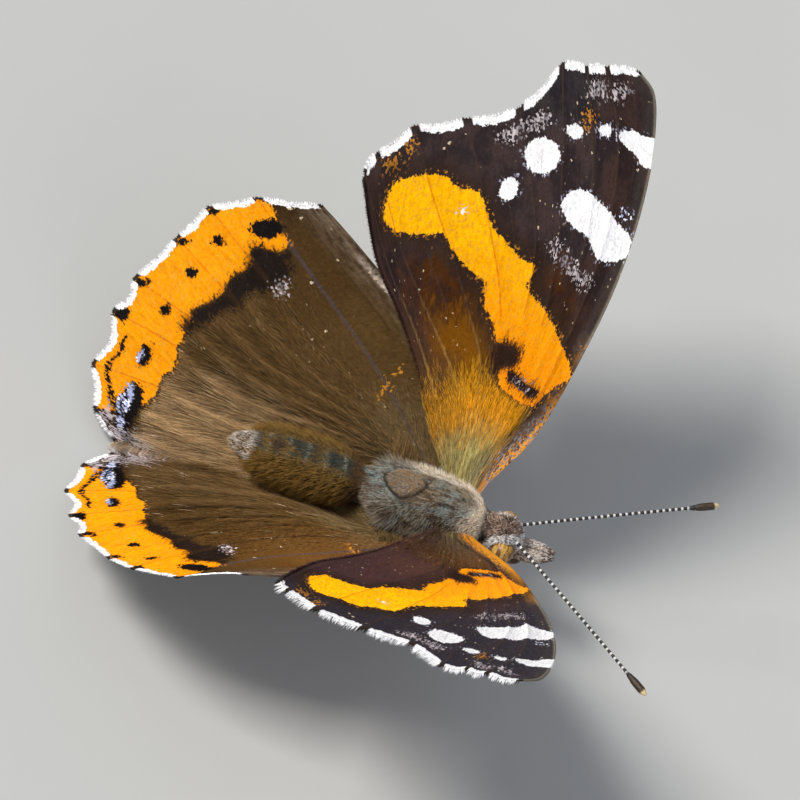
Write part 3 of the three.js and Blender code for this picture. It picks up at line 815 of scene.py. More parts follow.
        # On the right wing the strip is painted lighter and its lilac scales fewer, for how light falls on
        # that side.
        off = r["turned_off"]
        lighter = r.chance * 0.7 + (0.5 - costal) * 0.6 + r.streak.swing(0.8) + r.cloud.swing(2.2)
        lighter = lighter + off * 0.45
        rusty = r.mix(*self.edge_rust, lighter.above(0.48, 0.3))
        lilac = r.chance.above(0.2, 0.1) * r.chance.below(0.5, 0.1) * (r.cloud - off * 0.3).above(0.4, 0.15)
        rusty = r.mix(rusty, self.lilac, lilac * 0.85)
        outer = r.mix(*self.edge_outer, costal.below(0.16, 0.16) * 0.8)
        strip = r.mix(rusty, outer, reach.above(11.8, 2.5))
        # Painted shade: a dark line in the crease beside the front strip, near the root.
        crease = abs(tapered - 1.56 + r.streak.swing(0.3)).below(0.13, 0.14)
        r.lay(self.crease, crease * reach.below(9.0, 4.0) * 0.8)
        r.lay(strip, near * (1 - reach.above(12.0, 3.0) * 0.55))

    def _band(self, r: ScaleRecipe) -> None:
        """Lays the band, with a dark rim on the forewing and a haze of single scales round it; the right
        wing's band is painted brighter.

        Args:
            r: The recipe to lay it in.
        """
        # On the right wing the band is painted warmer and brighter, for how light falls on that side.
        off = r["turned_off"]
        heat = r["warm"] + r.cloud.swing(0.5) + off * 0.1
        orange = r.mix(self.band_tail, self.band_front, heat.above(0.5, 0.9))
        rays = (r["vein"] + r.streak.swing(0.1)).below(0.06, 0.07) * 0.6
        orange = r.mix(orange, self.band_rays, rays + (1 - r.streak).above(0.66, 0.16) * 0.2)
        orange = r.mix(orange, self.band_sparks, r.chance.above(0.86, 0.1) * 0.35)
        orange = r.lit(orange, 1 + off * 0.34)
        if self.kind is WingKind.FORE:
            near = (r["band"] + r.ragged * 1.2).above(-1.0, 1.3) * (1 - r["hairy"])
            r.lay(self.band_rim, near * 0.85)
        r.lay(orange, (r["band"] + r.ragged * self.band_fray).above(0.0, 0.08))
        haze = (r["band"] + r.ragged * 0.9).above(-0.2, 0.16) * r.chance.above(0.82, 0.1)
        r.lay(self.gold, haze * 0.6 * (1 - r["hairy"]))

    def _marks(self, r: ScaleRecipe) -> None:
        """Lays the dark, blue and white marks.

        Args:
            r: The recipe to lay them in.
        """
        dim = (r["shadow"] + r.ragged * 1.9 + r.cloud.swing(1.2)).above(0.0, 0.5)
        dim = dim * (0.5 + r["vein"].above(0.12, 0.4) * 0.46)
        r.lay(self.shade, dim * (1 - r["hairy"] * 0.7))
        dark = self.shade if self.kind is WingKind.FORE else self.black
        r.lay(dark, (r["black"] + r.ragged * 0.8).above(0.0, 0.12))
        blue = (r["blue"] + r.ragged * 0.5).above(0.0, 0.12) * r.chance.above(self.blue_rarity, 0.16)
        r.lay(r.mix(*self.blue, r.chance.above(0.86, 0.08)), blue)
        white = (r["white"] + r.ragged * 0.36).above(0.0, 0.06)
        dust = (r["white"] + r.ragged * 0.8).above(-0.16, 0.16) * r.chance.above(0.86, 0.08) * 0.7
        r.lay(self.white_dust, dust)
        r.lay(self.white, white)

    def _fringe(self, r: ScaleRecipe, white: Colour) -> None:
        """Lays the fringe: pale between the veins and dark where they end.

        Args:
            r: The recipe to lay it in.
            white: The colour between the veins.
        """
        fringe = (r["fringe"] + r.streak.swing(0.3) + r.chance.swing(0.16)).above(0.0, 0.06)
        pale = (r["segment"] + r.streak.swing(0.5)).above(0.5, 0.22)
        r.lay(r.mix(self.fringe_shade, white, pale), fringe)

    def _marbled(self, r: ScaleRecipe) -> Wire:
        """The bark pattern of the underside: dark clouds, pale wisps and bluish dust.

        Args:
            r: The underside's recipe.

        Returns:
            The pattern's colour.
        """
        bent = r.noise(r.grain, (0.8, 0.8, 1.0), 3.0, 0.6)
        cloud = r.noise(r.grain, (0.36, 0.34, 1.0), 6.0, 0.7)
        ripple = r.noise(r.grain, (2.2, 1.5, 1.0), 5.0, 0.7)
        colour = r.mix(*self.marbling, (cloud + r.chance.swing(0.1)).above(0.48, 0.1))
        wisps = abs(bent - 0.5 + ripple.swing(0.35)).below(0.03, 0.035) * r.chance.above(0.35, 0.4)
        colour = r.mix(colour, self.wisps, wisps * 0.85)
        colour = r.mix(colour, self.marble_dust, (ripple + r.chance.swing(0.25)).above(0.6, 0.07) * 0.7)
        return r.mix(colour, self.marble_blue, (cloud + r.chance.swing(0.3)).above(0.62, 0.1) * 0.55)

    def _hind_under(self, r: ScaleRecipe, marbled: Wire) -> None:
        """Lays the hindwing's underside: faint eye spots and a cream patch at the front.

        Args:
            r: The underside's recipe.
            marbled: The bark pattern.
        """
        r.colour = marbled
        reach = r["reach"] + r.ragged
        patch = (r["costal"] + r.ragged).below(1.2, 0.3) * reach.above(12.6, 0.8)
        r.lay(self.cream, patch * reach.below(15.4, 0.8))
        ring, pupil, glint = self.eye_spots
        spots = r["black"] + r.ragged * 0.4
        r.lay(ring, spots.above(-0.4, 0.2) * r["band"].above(-0.5, 0.4) * 0.55)
        r.lay(pupil, spots.above(-0.1, 0.15) * 0.8)
        r.lay(glint, (r["blue"] + r.ragged * 0.6).above(0.0, 0.2) * 0.6)
        r.lay(self.under_line, abs(r["fringe"] + 0.75 + r.ragged * 0.3).below(0.16, 0.12) * 0.5)

    def _fore_under(self, r: ScaleRecipe, marbled: Wire) -> None:
        """Lays the forewing's underside: a rosy band, blue arcs by the edge and a marbled tip.

        Args:
            r: The underside's recipe.
            marbled: The bark pattern.
        """
        warm, costal, band = r["warm"], r["costal"], r["band"]
        r.colour = r.mix(self.under_ground, marbled, (r["reach"] + r.ragged * 3.0).above(23.5, 2.0))
        edge = (costal + r.ragged * 0.4).below(0.55, 0.2) * r.chance.above(0.3, 0.4)
        r.lay(self.under_edge, edge * 0.8)
        orange, rose = self.under_band
        banded = (band + r.ragged * 0.8).above(0.05, 0.1)
        r.lay(orange, banded)
        r.lay(rose, banded * (warm + r.ragged * 0.2).above(0.62, 0.5))
        arc = abs(band + 0.55 + r.ragged * 0.2).below(0.16, 0.12) * (warm + r.ragged * 0.1).above(0.72, 0.12)
        r.lay(self.under_arc, arc * 0.8)
        r.lay(self.under_white, (r["white"] + r.ragged * 0.4).above(0.0, 0.08))


@dataclass(frozen=True)
class FurFinish:
    """The fur of the body: grey thorax, brown abdomen, and a rough brown and white head."""

    grey: Colour = (0.37, 0.285, 0.19)
    blue_grey: Colour = (0.33, 0.385, 0.37)
    brown: Colour = (0.17, 0.11, 0.06)
    dark: Colour = (0.05, 0.038, 0.028)
    # Pale collar colour, also used for the painted rim of light on the left side.
    collar: Colour = (0.9, 0.77, 0.62)
    flank: Colour = (0.29, 0.275, 0.235)
    low: Colour = (0.3, 0.22, 0.13)
    plate: Colour = (0.33, 0.24, 0.16)
    spark: Colour = (0.75, 0.38, 0.12)
    groove: Colour = (0.02, 0.014, 0.01)
    abdomen: Colour = (0.25, 0.15, 0.04)
    abdomen_side: Colour = (0.2, 0.11, 0.024)
    # Painted teal sheen on patches of the abdomen's back.
    cool: Colour = (0.078, 0.083, 0.06)
    bars: Colour = (0.03, 0.024, 0.032)
    ring: Colour = (0.42, 0.4, 0.36)
    waist: Colour = (0.09, 0.045, 0.018)
    head: Colour = (0.5, 0.37, 0.29)
    face_dark: Colour = (0.17, 0.11, 0.085)
    nape: Colour = (0.035, 0.026, 0.022)
    pale: Colour = (0.8, 0.76, 0.72)
    eye_rim: Colour = (0.98, 0.96, 0.95)
    palp: Colour = (0.56, 0.44, 0.35)
    palp_end: Colour = (0.1, 0.065, 0.05)
    belly: Colour = (0.42, 0.33, 0.21)

    def material(self) -> bpy.types.Material:
        """The fur's material, for the skin and the tufts on it.

        Returns:
            The material.
        """
        r = Recipe("body_fur")
        place = r.way("place")
        forward, _, _ = r.parts(place)
        fine = r.noise(place, (2.5, 6.0, 6.0), 3.0)
        chest, tail, face = (part(r, place, fine) for part in (self._chest, self._tail, self._face))
        waist = (forward + fine.swing(0.4)).above(-4.75, 0.3)
        neck = (forward + fine.swing(0.5)).above(4.0, 0.4)
        r.colour = r.mix(r.mix(tail, chest, waist), face, neck)
        # Random tone per tuft, and painted shade: each tuft is darker at its root and lighter at its tip.
        r.colour = r.lit(r.colour, (0.42 + r["tone"] * 0.9) * (0.7 + r["tip"] * 0.75))
        return r.surface(0.7, fine * 0.7, 0.05, Specular_IOR_Level=0.15)

    def _chest(self, r: Recipe, place: Wire, fine: Wire) -> Wire:
        """The thorax: mottled grey with a brown plate, dark grooves, a pale front rim and a painted rim of
        light along its left side.

        Args:
            r: The fur's recipe.
            place: [forward, left, up] on the body.
            fine: Noise as fine as the hair.

        Returns:
            The thorax's colour.
        """
        forward, left, up = r.parts(place)
        cloud = r.noise(place, (0.55, 0.8, 0.8), 3.0)
        blotch = r.noise(place, (1.1, 1.5, 1.5), 4.0, 0.65)
        ink = r.noise(place, (1.3, 2.2, 2.2), 3.0, 0.6)
        r.colour = r.mix(self.grey, self.blue_grey, (cloud + fine.swing(0.7)).above(0.45, 0.2))
        side = (abs(left) + fine.swing(0.5)).above(1.35, 0.5)
        r.lay(self.flank, side * up.above(-1.0, 0.8) * 0.4)
        r.lay(self.low, (up + cloud * 0.8).below(-1.0, 0.9))
        r.lay(self.brown, (blotch + fine.swing(0.6)).above(0.53, 0.08) * 0.9)
        r.lay(self.dark, (ink + fine.swing(0.4)).above(0.63, 0.06) * 0.8)
        speck = r.mix(self.plate, self.spark, (blotch * 0.5 + fine * 0.6).above(0.6, 0.05) * 0.6)
        r.lay(speck, r["plate"].above(0.05, 0.2) * 0.7)
        broken = (cloud * 0.8 + 0.1 - left * 0.3).above(0.3, 0.3)
        r.lay(self.groove, (r["groove"] + fine.swing(0.1)).above(-0.02, 0.12) * broken * 0.92)
        ahead = (forward + abs(left) * 0.55 + fine.swing(0.9)).above(3.15, 0.8)
        rim = ahead * (forward + fine.swing(0.5)).below(3.95, 0.3)
        # Painted light: a pale rim of light along the left side of the thorax.
        painted_rim_light = (left + fine.swing(0.6)).above(1.1, 0.5) * (forward + (fine - 0.5)).above(-1.4, 1.2)
        r.lay(self.collar, (rim + painted_rim_light * 0.85).least(1.0) * up.above(-1.1, 1.0) * 0.95)
        return r.colour

    def _tail(self, r: Recipe, place: Wire, fine: Wire) -> Wire:
        """The abdomen: brown, with painted teal sheen in patches on the back and whitish rows at each
        segment.

        Args:
            r: The fur's recipe.
            place: [forward, left, up] on the body.
            fine: Noise as fine as the hair.

        Returns:
            The abdomen's colour.
        """
        forward, left, up = r.parts(place)
        tone = r["tone"]
        cloud = r.noise(place, (0.4, 0.7, 0.7), 4.0, 0.65)
        step = ((forward + TAIL_LENGTH) / SEGMENT + fine.swing(0.12)).fraction()
        side = (abs(left) - up * 0.4 + (cloud - 0.5)).above(0.95, 0.8)
        r.colour = r.mix(self.abdomen, self.abdomen_side, side)
        back = (abs(left) + cloud.swing(1.4)).below(0.85, 0.5)
        # Painted sheen: teal patches on the top of the abdomen.
        r.lay(self.cool, (cloud * 0.9 + fine * 0.3).above(0.6, 0.08) * back * up.above(0.2, 0.5))
        bars = step.above(0.2, 0.12) * step.below(0.62, 0.3)
        bars = (bars * 0.6 + cloud.below(0.44, 0.08) * 0.7).least(1.0) * back * up.above(0.2, 0.5)
        r.lay(self.bars, bars * 0.75)
        row = step.below(0.09, 0.06) * (tone + cloud.swing(1.6)).above(0.62, 0.15)
        row = row * abs(left).below(0.95, 0.3)
        r.lay(self.ring, row * up.above(-0.2, 0.6) * 0.7)
        end = (forward + fine.swing(1.4) + cloud.swing(2.2)).below(-12.6, 0.5)
        r.lay(self.pale, end * (tone + (cloud - 0.5)).above(0.42, 0.2) * up.above(-0.9, 0.7) * 0.75)
        r.lay(self.waist, (forward + fine.swing(0.5)).above(-5.7, 0.6) * 0.8)
        r.lay(self.belly, up.below(-2.0, 0.4) * 0.7)
        return r.colour

    def _face(self, r: Recipe, place: Wire, fine: Wire) -> Wire:
        """The head: brown and grey tufts with white ones among them, pale palps with dark ends.

        Args:
            r: The fur's recipe.
            place: [forward, left, up] on the body.
            fine: Noise as fine as the hair.

        Returns:
            The head's colour.
        """
        forward, _, up = r.parts(place)
        tone = r["tone"]
        clump = r.noise(place, (2.2, 2.6, 2.2))
        r.colour = r.mix(self.head, self.face_dark, (fine * 0.5 + clump * 0.6).above(0.55, 0.12))
        r.lay(self.pale, (tone + clump.swing(1.6)).above(0.92, 0.1) * forward.above(4.8, 0.4) * 0.55)
        nape = (forward + fine.swing(0.6)).below(4.6, 0.3) * (clump + fine.swing(0.6)).above(0.5, 0.08)
        r.lay(self.nape, nape * 0.85)
        r.lay(self.eye_rim, r["eye_rim"].above(0.35, 0.25) * (tone + (fine - 0.5)).above(0.36, 0.2) * 0.95)
        palp = forward.above(7.0, 0.2)
        scaled = r.mix(self.palp, self.pale, (tone + clump.swing(1.4)).above(0.78, 0.12) * 0.7)
        scaled = r.mix(scaled, self.face_dark, (tone + clump.swing(1.6)).below(0.4, 0.1) * 0.85)
        r.lay(scaled, palp)
        ends = palp * (forward + fine.swing(0.8)).above(8.6, 0.4) * 0.7
        r.lay(self.palp_end, ends * tone.below(0.7, 0.2))
        r.lay(self.belly, up.below(-2.1, 0.3) * 0.5)
        return r.colour


@dataclass(frozen=True)
class EyeFinish:
    """A compound eye: amber, with darker clouds and thousands of tiny facets."""

    amber: Colour = (0.42, 0.2, 0.02)
    brown: Colour = (0.08, 0.03, 0.006)
    straw: Colour = (0.6, 0.4, 0.12)
    facets: Place = (15.0, 15.0, 15.0)

    def material(self) -> bpy.types.Material:
        """The eye's material.

        Returns:
            The material.
        """
        r = Recipe("eye_amber")
        place = r.way("place")
        cloud = r.noise(place, (5.5, 1.4, 1.5), 3.0, 0.6)
        chance, dome = r.cells(place, self.facets)
        r.colour = r.mix(self.amber, self.brown, cloud.above(0.54, 0.06) * 0.85)
        r.lay(self.straw, cloud.below(0.42, 0.1) * 0.7)
        r.colour = r.lit(r.colour, 0.8 + chance * 0.4)
        return r.surface(0.3 + dome * 0.2, dome * -1.0, Coat_Weight=0.25, Coat_Roughness=0.2)


@dataclass(frozen=True)
class AntennaFinish:
    """A ringed antenna: black, a white ring at the foot of each segment and a cream club tip."""

    black: Colour = (0.012, 0.01, 0.009)
    white: Colour = (0.78, 0.77, 0.74)
    brown: Colour = (0.12, 0.06, 0.02)
    cream: Colour = (0.75, 0.58, 0.3)

    def material(self) -> bpy.types.Material:
        """The antenna's material.

        Returns:
            The material.
        """
        r = Recipe("antenna_rings")
        to_tip = r["to_tip"]
        fine = r.noise(r.way("place"), (6.0, 6.0, 6.0))
        step = (r["run"] / FEELER_RING + fine.swing(0.2)).fraction()
        ringed = abs(step - 0.3).below(0.18, 0.1) * to_tip.above(2.1, 0.3)
        r.colour = r.mix(self.black, self.white, ringed * (0.75 + fine * 0.4).least(1.0))
        r.lay(self.brown, to_tip.below(1.6, 0.8) * fine.above(0.5, 0.3) * 0.5)
        r.lay(self.cream, (to_tip + fine.swing(0.2)).below(0.34, 0.15))
        return r.surface(0.55, fine * 0.3 - abs(step - 0.02).below(0.06, 0.06))


@dataclass(frozen=True)
class LegFinish:
    """Scaled legs: dark thighs, tan shins and feet with paler flecks."""

    dark: Colour = (0.06, 0.045, 0.032)
    tan: Colour = (0.3, 0.19, 0.09)
    pale: Colour = (0.5, 0.43, 0.33)

    def material(self) -> bpy.types.Material:
        """The legs' material.

        Returns:
            The material.
        """
        r = Recipe("leg_scales")
        place = r.way("place")
        chance, dome = r.cells(place, (9.0, 9.0, 9.0))
        fine = r.noise(place, (3.0, 3.0, 3.0), 3.0)
        r.colour = r.mix(self.dark, self.tan, (r["run"] + fine.swing(0.3)).above(0.36, 0.2))
        r.lay(self.pale, chance.above(0.72, 0.1) * 0.6)
        r.lay(self.dark, r["joint"].above(0.5, 0.4) * 0.7)
        r.colour = r.lit(r.colour, 0.6 + r["tone"] * 0.8)
        return r.surface(0.6, dome * -0.7 + chance * 0.3, 0.03)


@dataclass(frozen=True)
class ProboscisFinish:
    """The coiled tongue: dark horn with fine rings."""

    horn: Colour = (0.09, 0.045, 0.018)
    light: Colour = (0.22, 0.12, 0.05)

    def material(self) -> bpy.types.Material:
        """The tongue's material.

        Returns:
            The material.
        """
        r = Recipe("proboscis_horn")
        ribs = (r["run"] * 9.0).fraction()
        fine = r.noise(r.way("place"), (5.0, 5.0, 5.0))
        r.colour = r.mix(self.horn, self.light, (ribs * 0.5 + fine * 0.5).above(0.55, 0.3) * 0.7)
        return r.surface(0.35, abs(ribs - 0.5) * 2.0)


@dataclass(frozen=True)
class FloorFinish:
    """The plain pale floor."""

    pale: Colour = (0.575, 0.585, 0.575)
    shaded: Colour = (0.545, 0.555, 0.545)

    def material(self) -> bpy.types.Material:
        """The floor's material.

        Returns:
            The material.
        """
        r = Recipe("floor_pale")
        coordinates = Wire(r, r.node("ShaderNodeTexCoord").outputs["Object"])
        r.colour = r.mix(self.shaded, self.pale, r.noise(coordinates, (60.0, 60.0, 60.0), 3.0))
        return r.surface(0.9, Specular_IOR_Level=0.1)


# Meshes


@dataclass
class Surface:
    """A mesh on the body, in millimetres, with the fields that its material and coat read."""

    name: str
    points: Array
    faces: Array
    fields: dict[str, Array] = field(default_factory=dict)
    map: Array | None = None
    slots: Array | None = None

    def mirrored(self, name: str) -> "Surface":
        """The same surface on the insect's other side.

        Args:
            name: The mirrored surface's name.

        Returns:
            The mirrored surface.
        """
        flip = np.array([1, -1, 1])
        fields = dict(self.fields)
        for key in fields.keys() & {"place", "way"}:
            fields[key] = fields[key] * flip
        # The right side's copy is marked with 1, where the wing colours carry painted light and shade for how
        # light falls on that side.
        if "turned_off" in fields:
            fields["turned_off"] = fields["turned_off"] + 1
        corner_map = None if self.map is None else self.map[:, ::-1]
        return Surface(name, self.points * flip, self.faces[:, ::-1], fields, corner_map, self.slots)

    def normals(self) -> Array:
        """The outward way at each point.

        Returns:
            A way of length 1 for each point.
        """
        a, b, c = (self.points[self.faces[:, k]] for k in range(3))
        across = np.cross(b - a, c - a)
        total = np.zeros_like(self.points)
        for k in range(3):
            np.add.at(total, self.faces[:, k], across)
        return unit(total)

    def piece(self, stance: Stance, materials: list[bpy.types.Material]) -> bpy.types.Object:
        """Makes the Blender object.

        Args:
            stance: How the insect stands.
            materials: The material of each slot.

        Returns:
            The object, linked to the scene.
        """
        mesh = bpy.data.meshes.new(self.name)
        count = len(self.faces)
        mesh.vertices.add(len(self.points))
        placed = stance.placed(self.points)
        placed[:, 2] = np.maximum(placed[:, 2], 0)
        mesh.vertices.foreach_set("co", placed.astype(np.float32).ravel())
        mesh.loops.add(count * 3)
        mesh.loops.foreach_set("vertex_index", self.faces.astype(np.int32).ravel())
        mesh.polygons.add(count)
        mesh.polygons.foreach_set("loop_start", np.arange(0, count * 3, 3, dtype=np.int32))
        if self.slots is not None:
            mesh.polygons.foreach_set("material_index", self.slots.astype(np.int32))
        mesh.update(calc_edges=True)
        mesh.shade_smooth()
        if self.map is not None:
            layer = mesh.uv_layers.new(name=BAKE_MAP)
            layer.uv.foreach_set("vector", self.map.astype(np.float32).ravel())
        for key, values in self.fields.items():
            if key in ONLY_FOR_COATS:
                continue
            kind, slot = ("FLOAT", "value") if values.ndim == 1 else ("FLOAT_VECTOR", "vector")
            mesh.attributes.new(key, kind, "POINT").data.foreach_set(slot, values.astype(np.float32).ravel())
        for material in materials:
            mesh.materials.append(material)
        made = bpy.data.objects.new(self.name, mesh)
        bpy.context.scene.collection.objects.link(made)
        return made

    def scattered(
        self, weight: Array, count: int, rng: np.random.Generator, upto: int | None = None
    ) -> "Roots":
        """Chooses where tufts grow.

        Args:
            weight: How thickly they grow at each point of the surface.
            count: How many there are.
            rng: The run of chance numbers.
            upto: Only the faces before this one are used.

        Returns:
            The tufts' roots.
        """
        faces = self.faces[:upto]
        a, b, c = (self.points[faces[:, k]] for k in range(3))
        area = np.linalg.norm(np.cross(b - a, c - a), axis=1) / 2
        chance = area * weight[faces].mean(axis=1)
        chosen = rng.choice(len(faces), count, p=chance / chance.sum())
        share = np.sqrt(rng.random(count))
        other = rng.random(count)
        bary = np.stack([1 - share, share * (1 - other), share * other], axis=1)

        def blended(values: Array) -> Array:
            """Values of the faces' corners, at the roots."""
            return np.einsum("nk,nk...->n...", bary, values[faces[chosen]])

        spots = np.einsum("nk,nkd->nd", bary, self.map[chosen]) if self.map is not None else None
        fields = {key: blended(values) for key, values in self.fields.items()}
        return Roots(blended(self.points), unit(blended(self.normals())), fields, spots)


@dataclass
class Roots:
    """Where tufts grow: their places, the skin's outward way, its fields and its map there."""

    places: Array
    normals: Array
    fields: dict[str, Array]
    spots: Array | None


def grow(
    name: str, roots: Roots, ways: Array, lengths: Array, widths: Array, tone: Array, curl: float
) -> Surface:
    """Grows one closed pointed blade at each root.

    Args:
        name: The piece's name.
        roots: Where the tufts grow.
        ways: The way that each points, from root to tip.
        lengths: How long each is.
        widths: How wide each is at its root.
        tone: How light each is, from 0 to 1.
        curl: How far the middle stands over the line from root to tip, as a share of the length.

    Returns:
        The joined blades.
    """
    count = len(lengths)
    ways = unit(ways)
    across = unit(np.cross(ways, roots.normals))
    over = unit(np.cross(across, ways))
    turns = np.radians([90, 210, 330])
    ring = across[:, None] * np.cos(turns)[None, :, None] + over[:, None] * np.sin(turns)[None, :, None] * 0.6
    half = (widths / 2)[:, None, None]
    base = roots.places[:, None] - roots.normals[:, None] * 0.05 + ring * half
    middle = roots.places + ways * (lengths * 0.5)[:, None] + over * (lengths * curl)[:, None]
    middle = middle[:, None] + ring * half * 0.8
    tip = (roots.places + ways * lengths[:, None])[:, None]
    points = np.concatenate([base, middle, tip], axis=1)
    pattern = np.array([
        [2, 1, 0], [0, 1, 4], [0, 4, 3], [1, 2, 5], [1, 5, 4], [2, 0, 3], [2, 3, 5],
        [3, 4, 6], [4, 5, 6], [5, 3, 6],
    ])
    faces = (pattern[None] + np.arange(count)[:, None, None] * BLADE_POINTS).reshape(-1, 3)
    fields = {
        key: np.repeat(value, BLADE_POINTS, axis=0) for key, value in roots.fields.items() if key != "way"
    }
    fields["tone"] = np.repeat(tone, BLADE_POINTS)
    fields["tip"] = np.tile(np.array([0, 0, 0, 0.5, 0.5, 0.5, 1.0]), count)
    corner_map = None
    if roots.spots is not None:
        shift = np.array([[-1, -1], [0, -1], [1, -1], [-1, 0], [0, 0], [1, 0], [0, 1]]) * TUFT_PATCH / 2
        corner_map = (roots.spots[:, None] + shift[None])[:, pattern].reshape(-1, 3, 2)
    return Surface(name, points.reshape(-1, 3), faces, fields, corner_map)


def joined(name: str, parts: list[Surface]) -> Surface:
    """Several surfaces with the same fields as one.

    Args:
        name: The name of the whole.
        parts: The surfaces.

    Returns:
        The whole.
    """
    starts = np.cumsum([0, *(len(part.points) for part in parts)])
    return Surface(
        name,
        np.vstack([part.points for part in parts]),
        np.vstack([part.faces + start for part, start in zip(parts, starts, strict=False)]),
        {key: np.concatenate([part.fields[key] for part in parts]) for key in parts[0].fields},
        None if parts[0].map is None else np.vstack([part.map for part in parts]),
    )


def ring_faces(rings: int, sides: int) -> Array:
    """The faces between closed rings, with a fan to one of the last two points at each end.

    Args:
        rings: How many rings there are.
        sides: Points round a ring.

    Returns:
        Three points for each face.
    """
    r, c = np.meshgrid(np.arange(rings - 1), np.arange(sides), indexing="ij")
    a, b = r * sides + c, r * sides + (c + 1) % sides
    walls = np.stack([a, b + sides, b, a, a + sides, b + sides], axis=-1).reshape(-1, 3)
    around = np.arange(sides)
    following, last, count = (around + 1) % sides, (rings - 1) * sides, rings * sides
    start = np.stack([np.full(sides, count), around, following], axis=-1)
    end = np.stack([np.full(sides, count + 1), last + following, last + around], axis=-1)
    return np.vstack([walls, start, end])


def ring_map(faces: Array, share: Array, turn: Array, size: float) -> Array:
    """Unrolls rings onto the map, without a face across the seam.

    Args:
        faces: The faces of ring_faces.
        share: How far along each point of the rings is, from 0 to 1.
        turn: How far round each point is, from 0 to 1.
        size: How much of the map they fill.

    Returns:
        The map's place of each face's corners.
    """
    share, turn = np.concatenate([share, [0, 1]])[faces], np.concatenate([turn, [0.5, 0.5]])[faces]
    turn = np.where(turn.max(axis=1, keepdims=True) - turn > 0.5, turn + 1, turn)
    return np.stack([0.02 + share * size, 0.02 + turn * size], axis=-1)


def tube(
    name: str, points: Array, wide: Array, high: Array, sides: int = 16, up: Place = (0, 0, 1)
) -> Surface:
    """A closed tube of oval rings.

    Args:
        name: The piece's name.
        points: The middle of each ring.
        wide: Each ring's half width.
        high: Each ring's half height.
        sides: Points round a ring.
        up: The way that the rings' height looks.

    Returns:
        The tube, with the fields place, run, to_tip, tone, tip and way.
    """
    tangent = unit(np.gradient(points, axis=0))
    across = unit(np.cross(tangent, np.array(up, float)))
    over = unit(np.cross(across, tangent))
    turns = np.arange(sides) / sides * 2 * np.pi
    ring = (
        across[:, None] * (np.cos(turns)[None, :, None] * wide[:, None, None])
        + over[:, None] * (np.sin(turns)[None, :, None] * high[:, None, None])
    )
    body = (points[:, None] + ring).reshape(-1, 3)
    ends = points[:1] - tangent[:1] * 1e-3, points[-1:] + tangent[-1:] * wide[-1] * 0.5
    everything = np.vstack([body, *ends])
    run = np.concatenate([[0], np.cumsum(np.linalg.norm(np.diff(points, axis=0), axis=1))])
    along = np.concatenate([np.repeat(run, sides), [0, run[-1]]])
    faces = np.roll(ring_faces(len(points), sides), -1, axis=1)
    turned = np.tile(turns / (2 * np.pi), len(points))
    fields = {
        "place": everything,
        "run": along,
        "to_tip": run[-1] - along,
        "tone": np.full(len(everything), 0.5),
        "tip": np.zeros(len(everything)),
        "way": np.vstack([np.repeat(tangent, sides, axis=0), tangent[:1], tangent[-1:]]),
    }
    corner_map = ring_map(faces, np.repeat(run / run[-1], sides), turned, 0.9)
    return Surface(name, everything, faces, fields, corner_map)


def ellipsoid(name: str, middle: Array, half: Place, rings: int = 28, sides: int = 48) -> Surface:
    """A closed oval ball with its poles to the left and right.

    Args:
        name: The piece's name.
        middle: Its middle.
        half: Its half sizes.
        rings: Rings from pole to pole.
        sides: Points round a ring.

    Returns:
        The ball.
    """
    share = np.linspace(0, np.pi, rings + 1)
    left = -np.cos(share) * half[1]
    radius = np.maximum(np.sin(share), 0.02)
    points = middle + np.stack([np.zeros_like(left), left, np.zeros_like(left)], axis=-1)
    return tube(name, points, radius * half[0], radius * half[2], sides)


# The wings


@dataclass(frozen=True)
class Vein:
    """A vein from the root to the margin.

    Its path is in [span, chord]; ridge is how far it stands up, start the share of its length where
    it does, notch how far the margin before it is cut in, sink how fast the wing curves down along
    it, and lift the share of the root's drop that it keeps.
    """

    path: tuple[Pair, ...]
    ridge: float
    start: float
    notch: float
    sink: float
    lift: float = 0.0


@dataclass(frozen=True)
class WingPlane:
    """The plane that the left wings lie in, from the hinge of the forewing."""

    hinge: Place = (2.0, 2.5, 0.03)
    normal: Place = (-0.131, -0.605, 0.785)

    def axes(self) -> tuple[Array, Array, Array]:
        """The ways of span, chord and the plane's normal.

        Returns:
            Three ways of length 1 on the body.
        """
        normal = unit(np.array(self.normal))
        left = np.array([0.0, 1.0, 0.0])
        span = unit(left - normal * normal[1])
        return span, unit(np.cross(span, normal)), normal

    def at(self, places: Array, above: Array) -> Array:
        """Places on the body for [span, chord] places and heights over the plane.

        Args:
            places: Places on the wing.
            above: How far over the plane they lie.

        Returns:
            The places on the body.
        """
        span, chord, normal = self.axes()
        flat = np.array(self.hinge) + places[..., :1] * span + places[..., 1:] * chord
        return flat + above[..., None] * normal


@dataclass(frozen=True)
class Hem:
    """The fringe along one margin, in millimetres.

    lean is how far the scales point along the wing, pale is 1 where they are white between the
    veins, and hairy is 1 where they are hair.
    """

    spacing: float
    reach: float
    spread: float
    lean: float
    widths: Pair
    tones: Pair
    pale: float
    hairy: float = 0.0


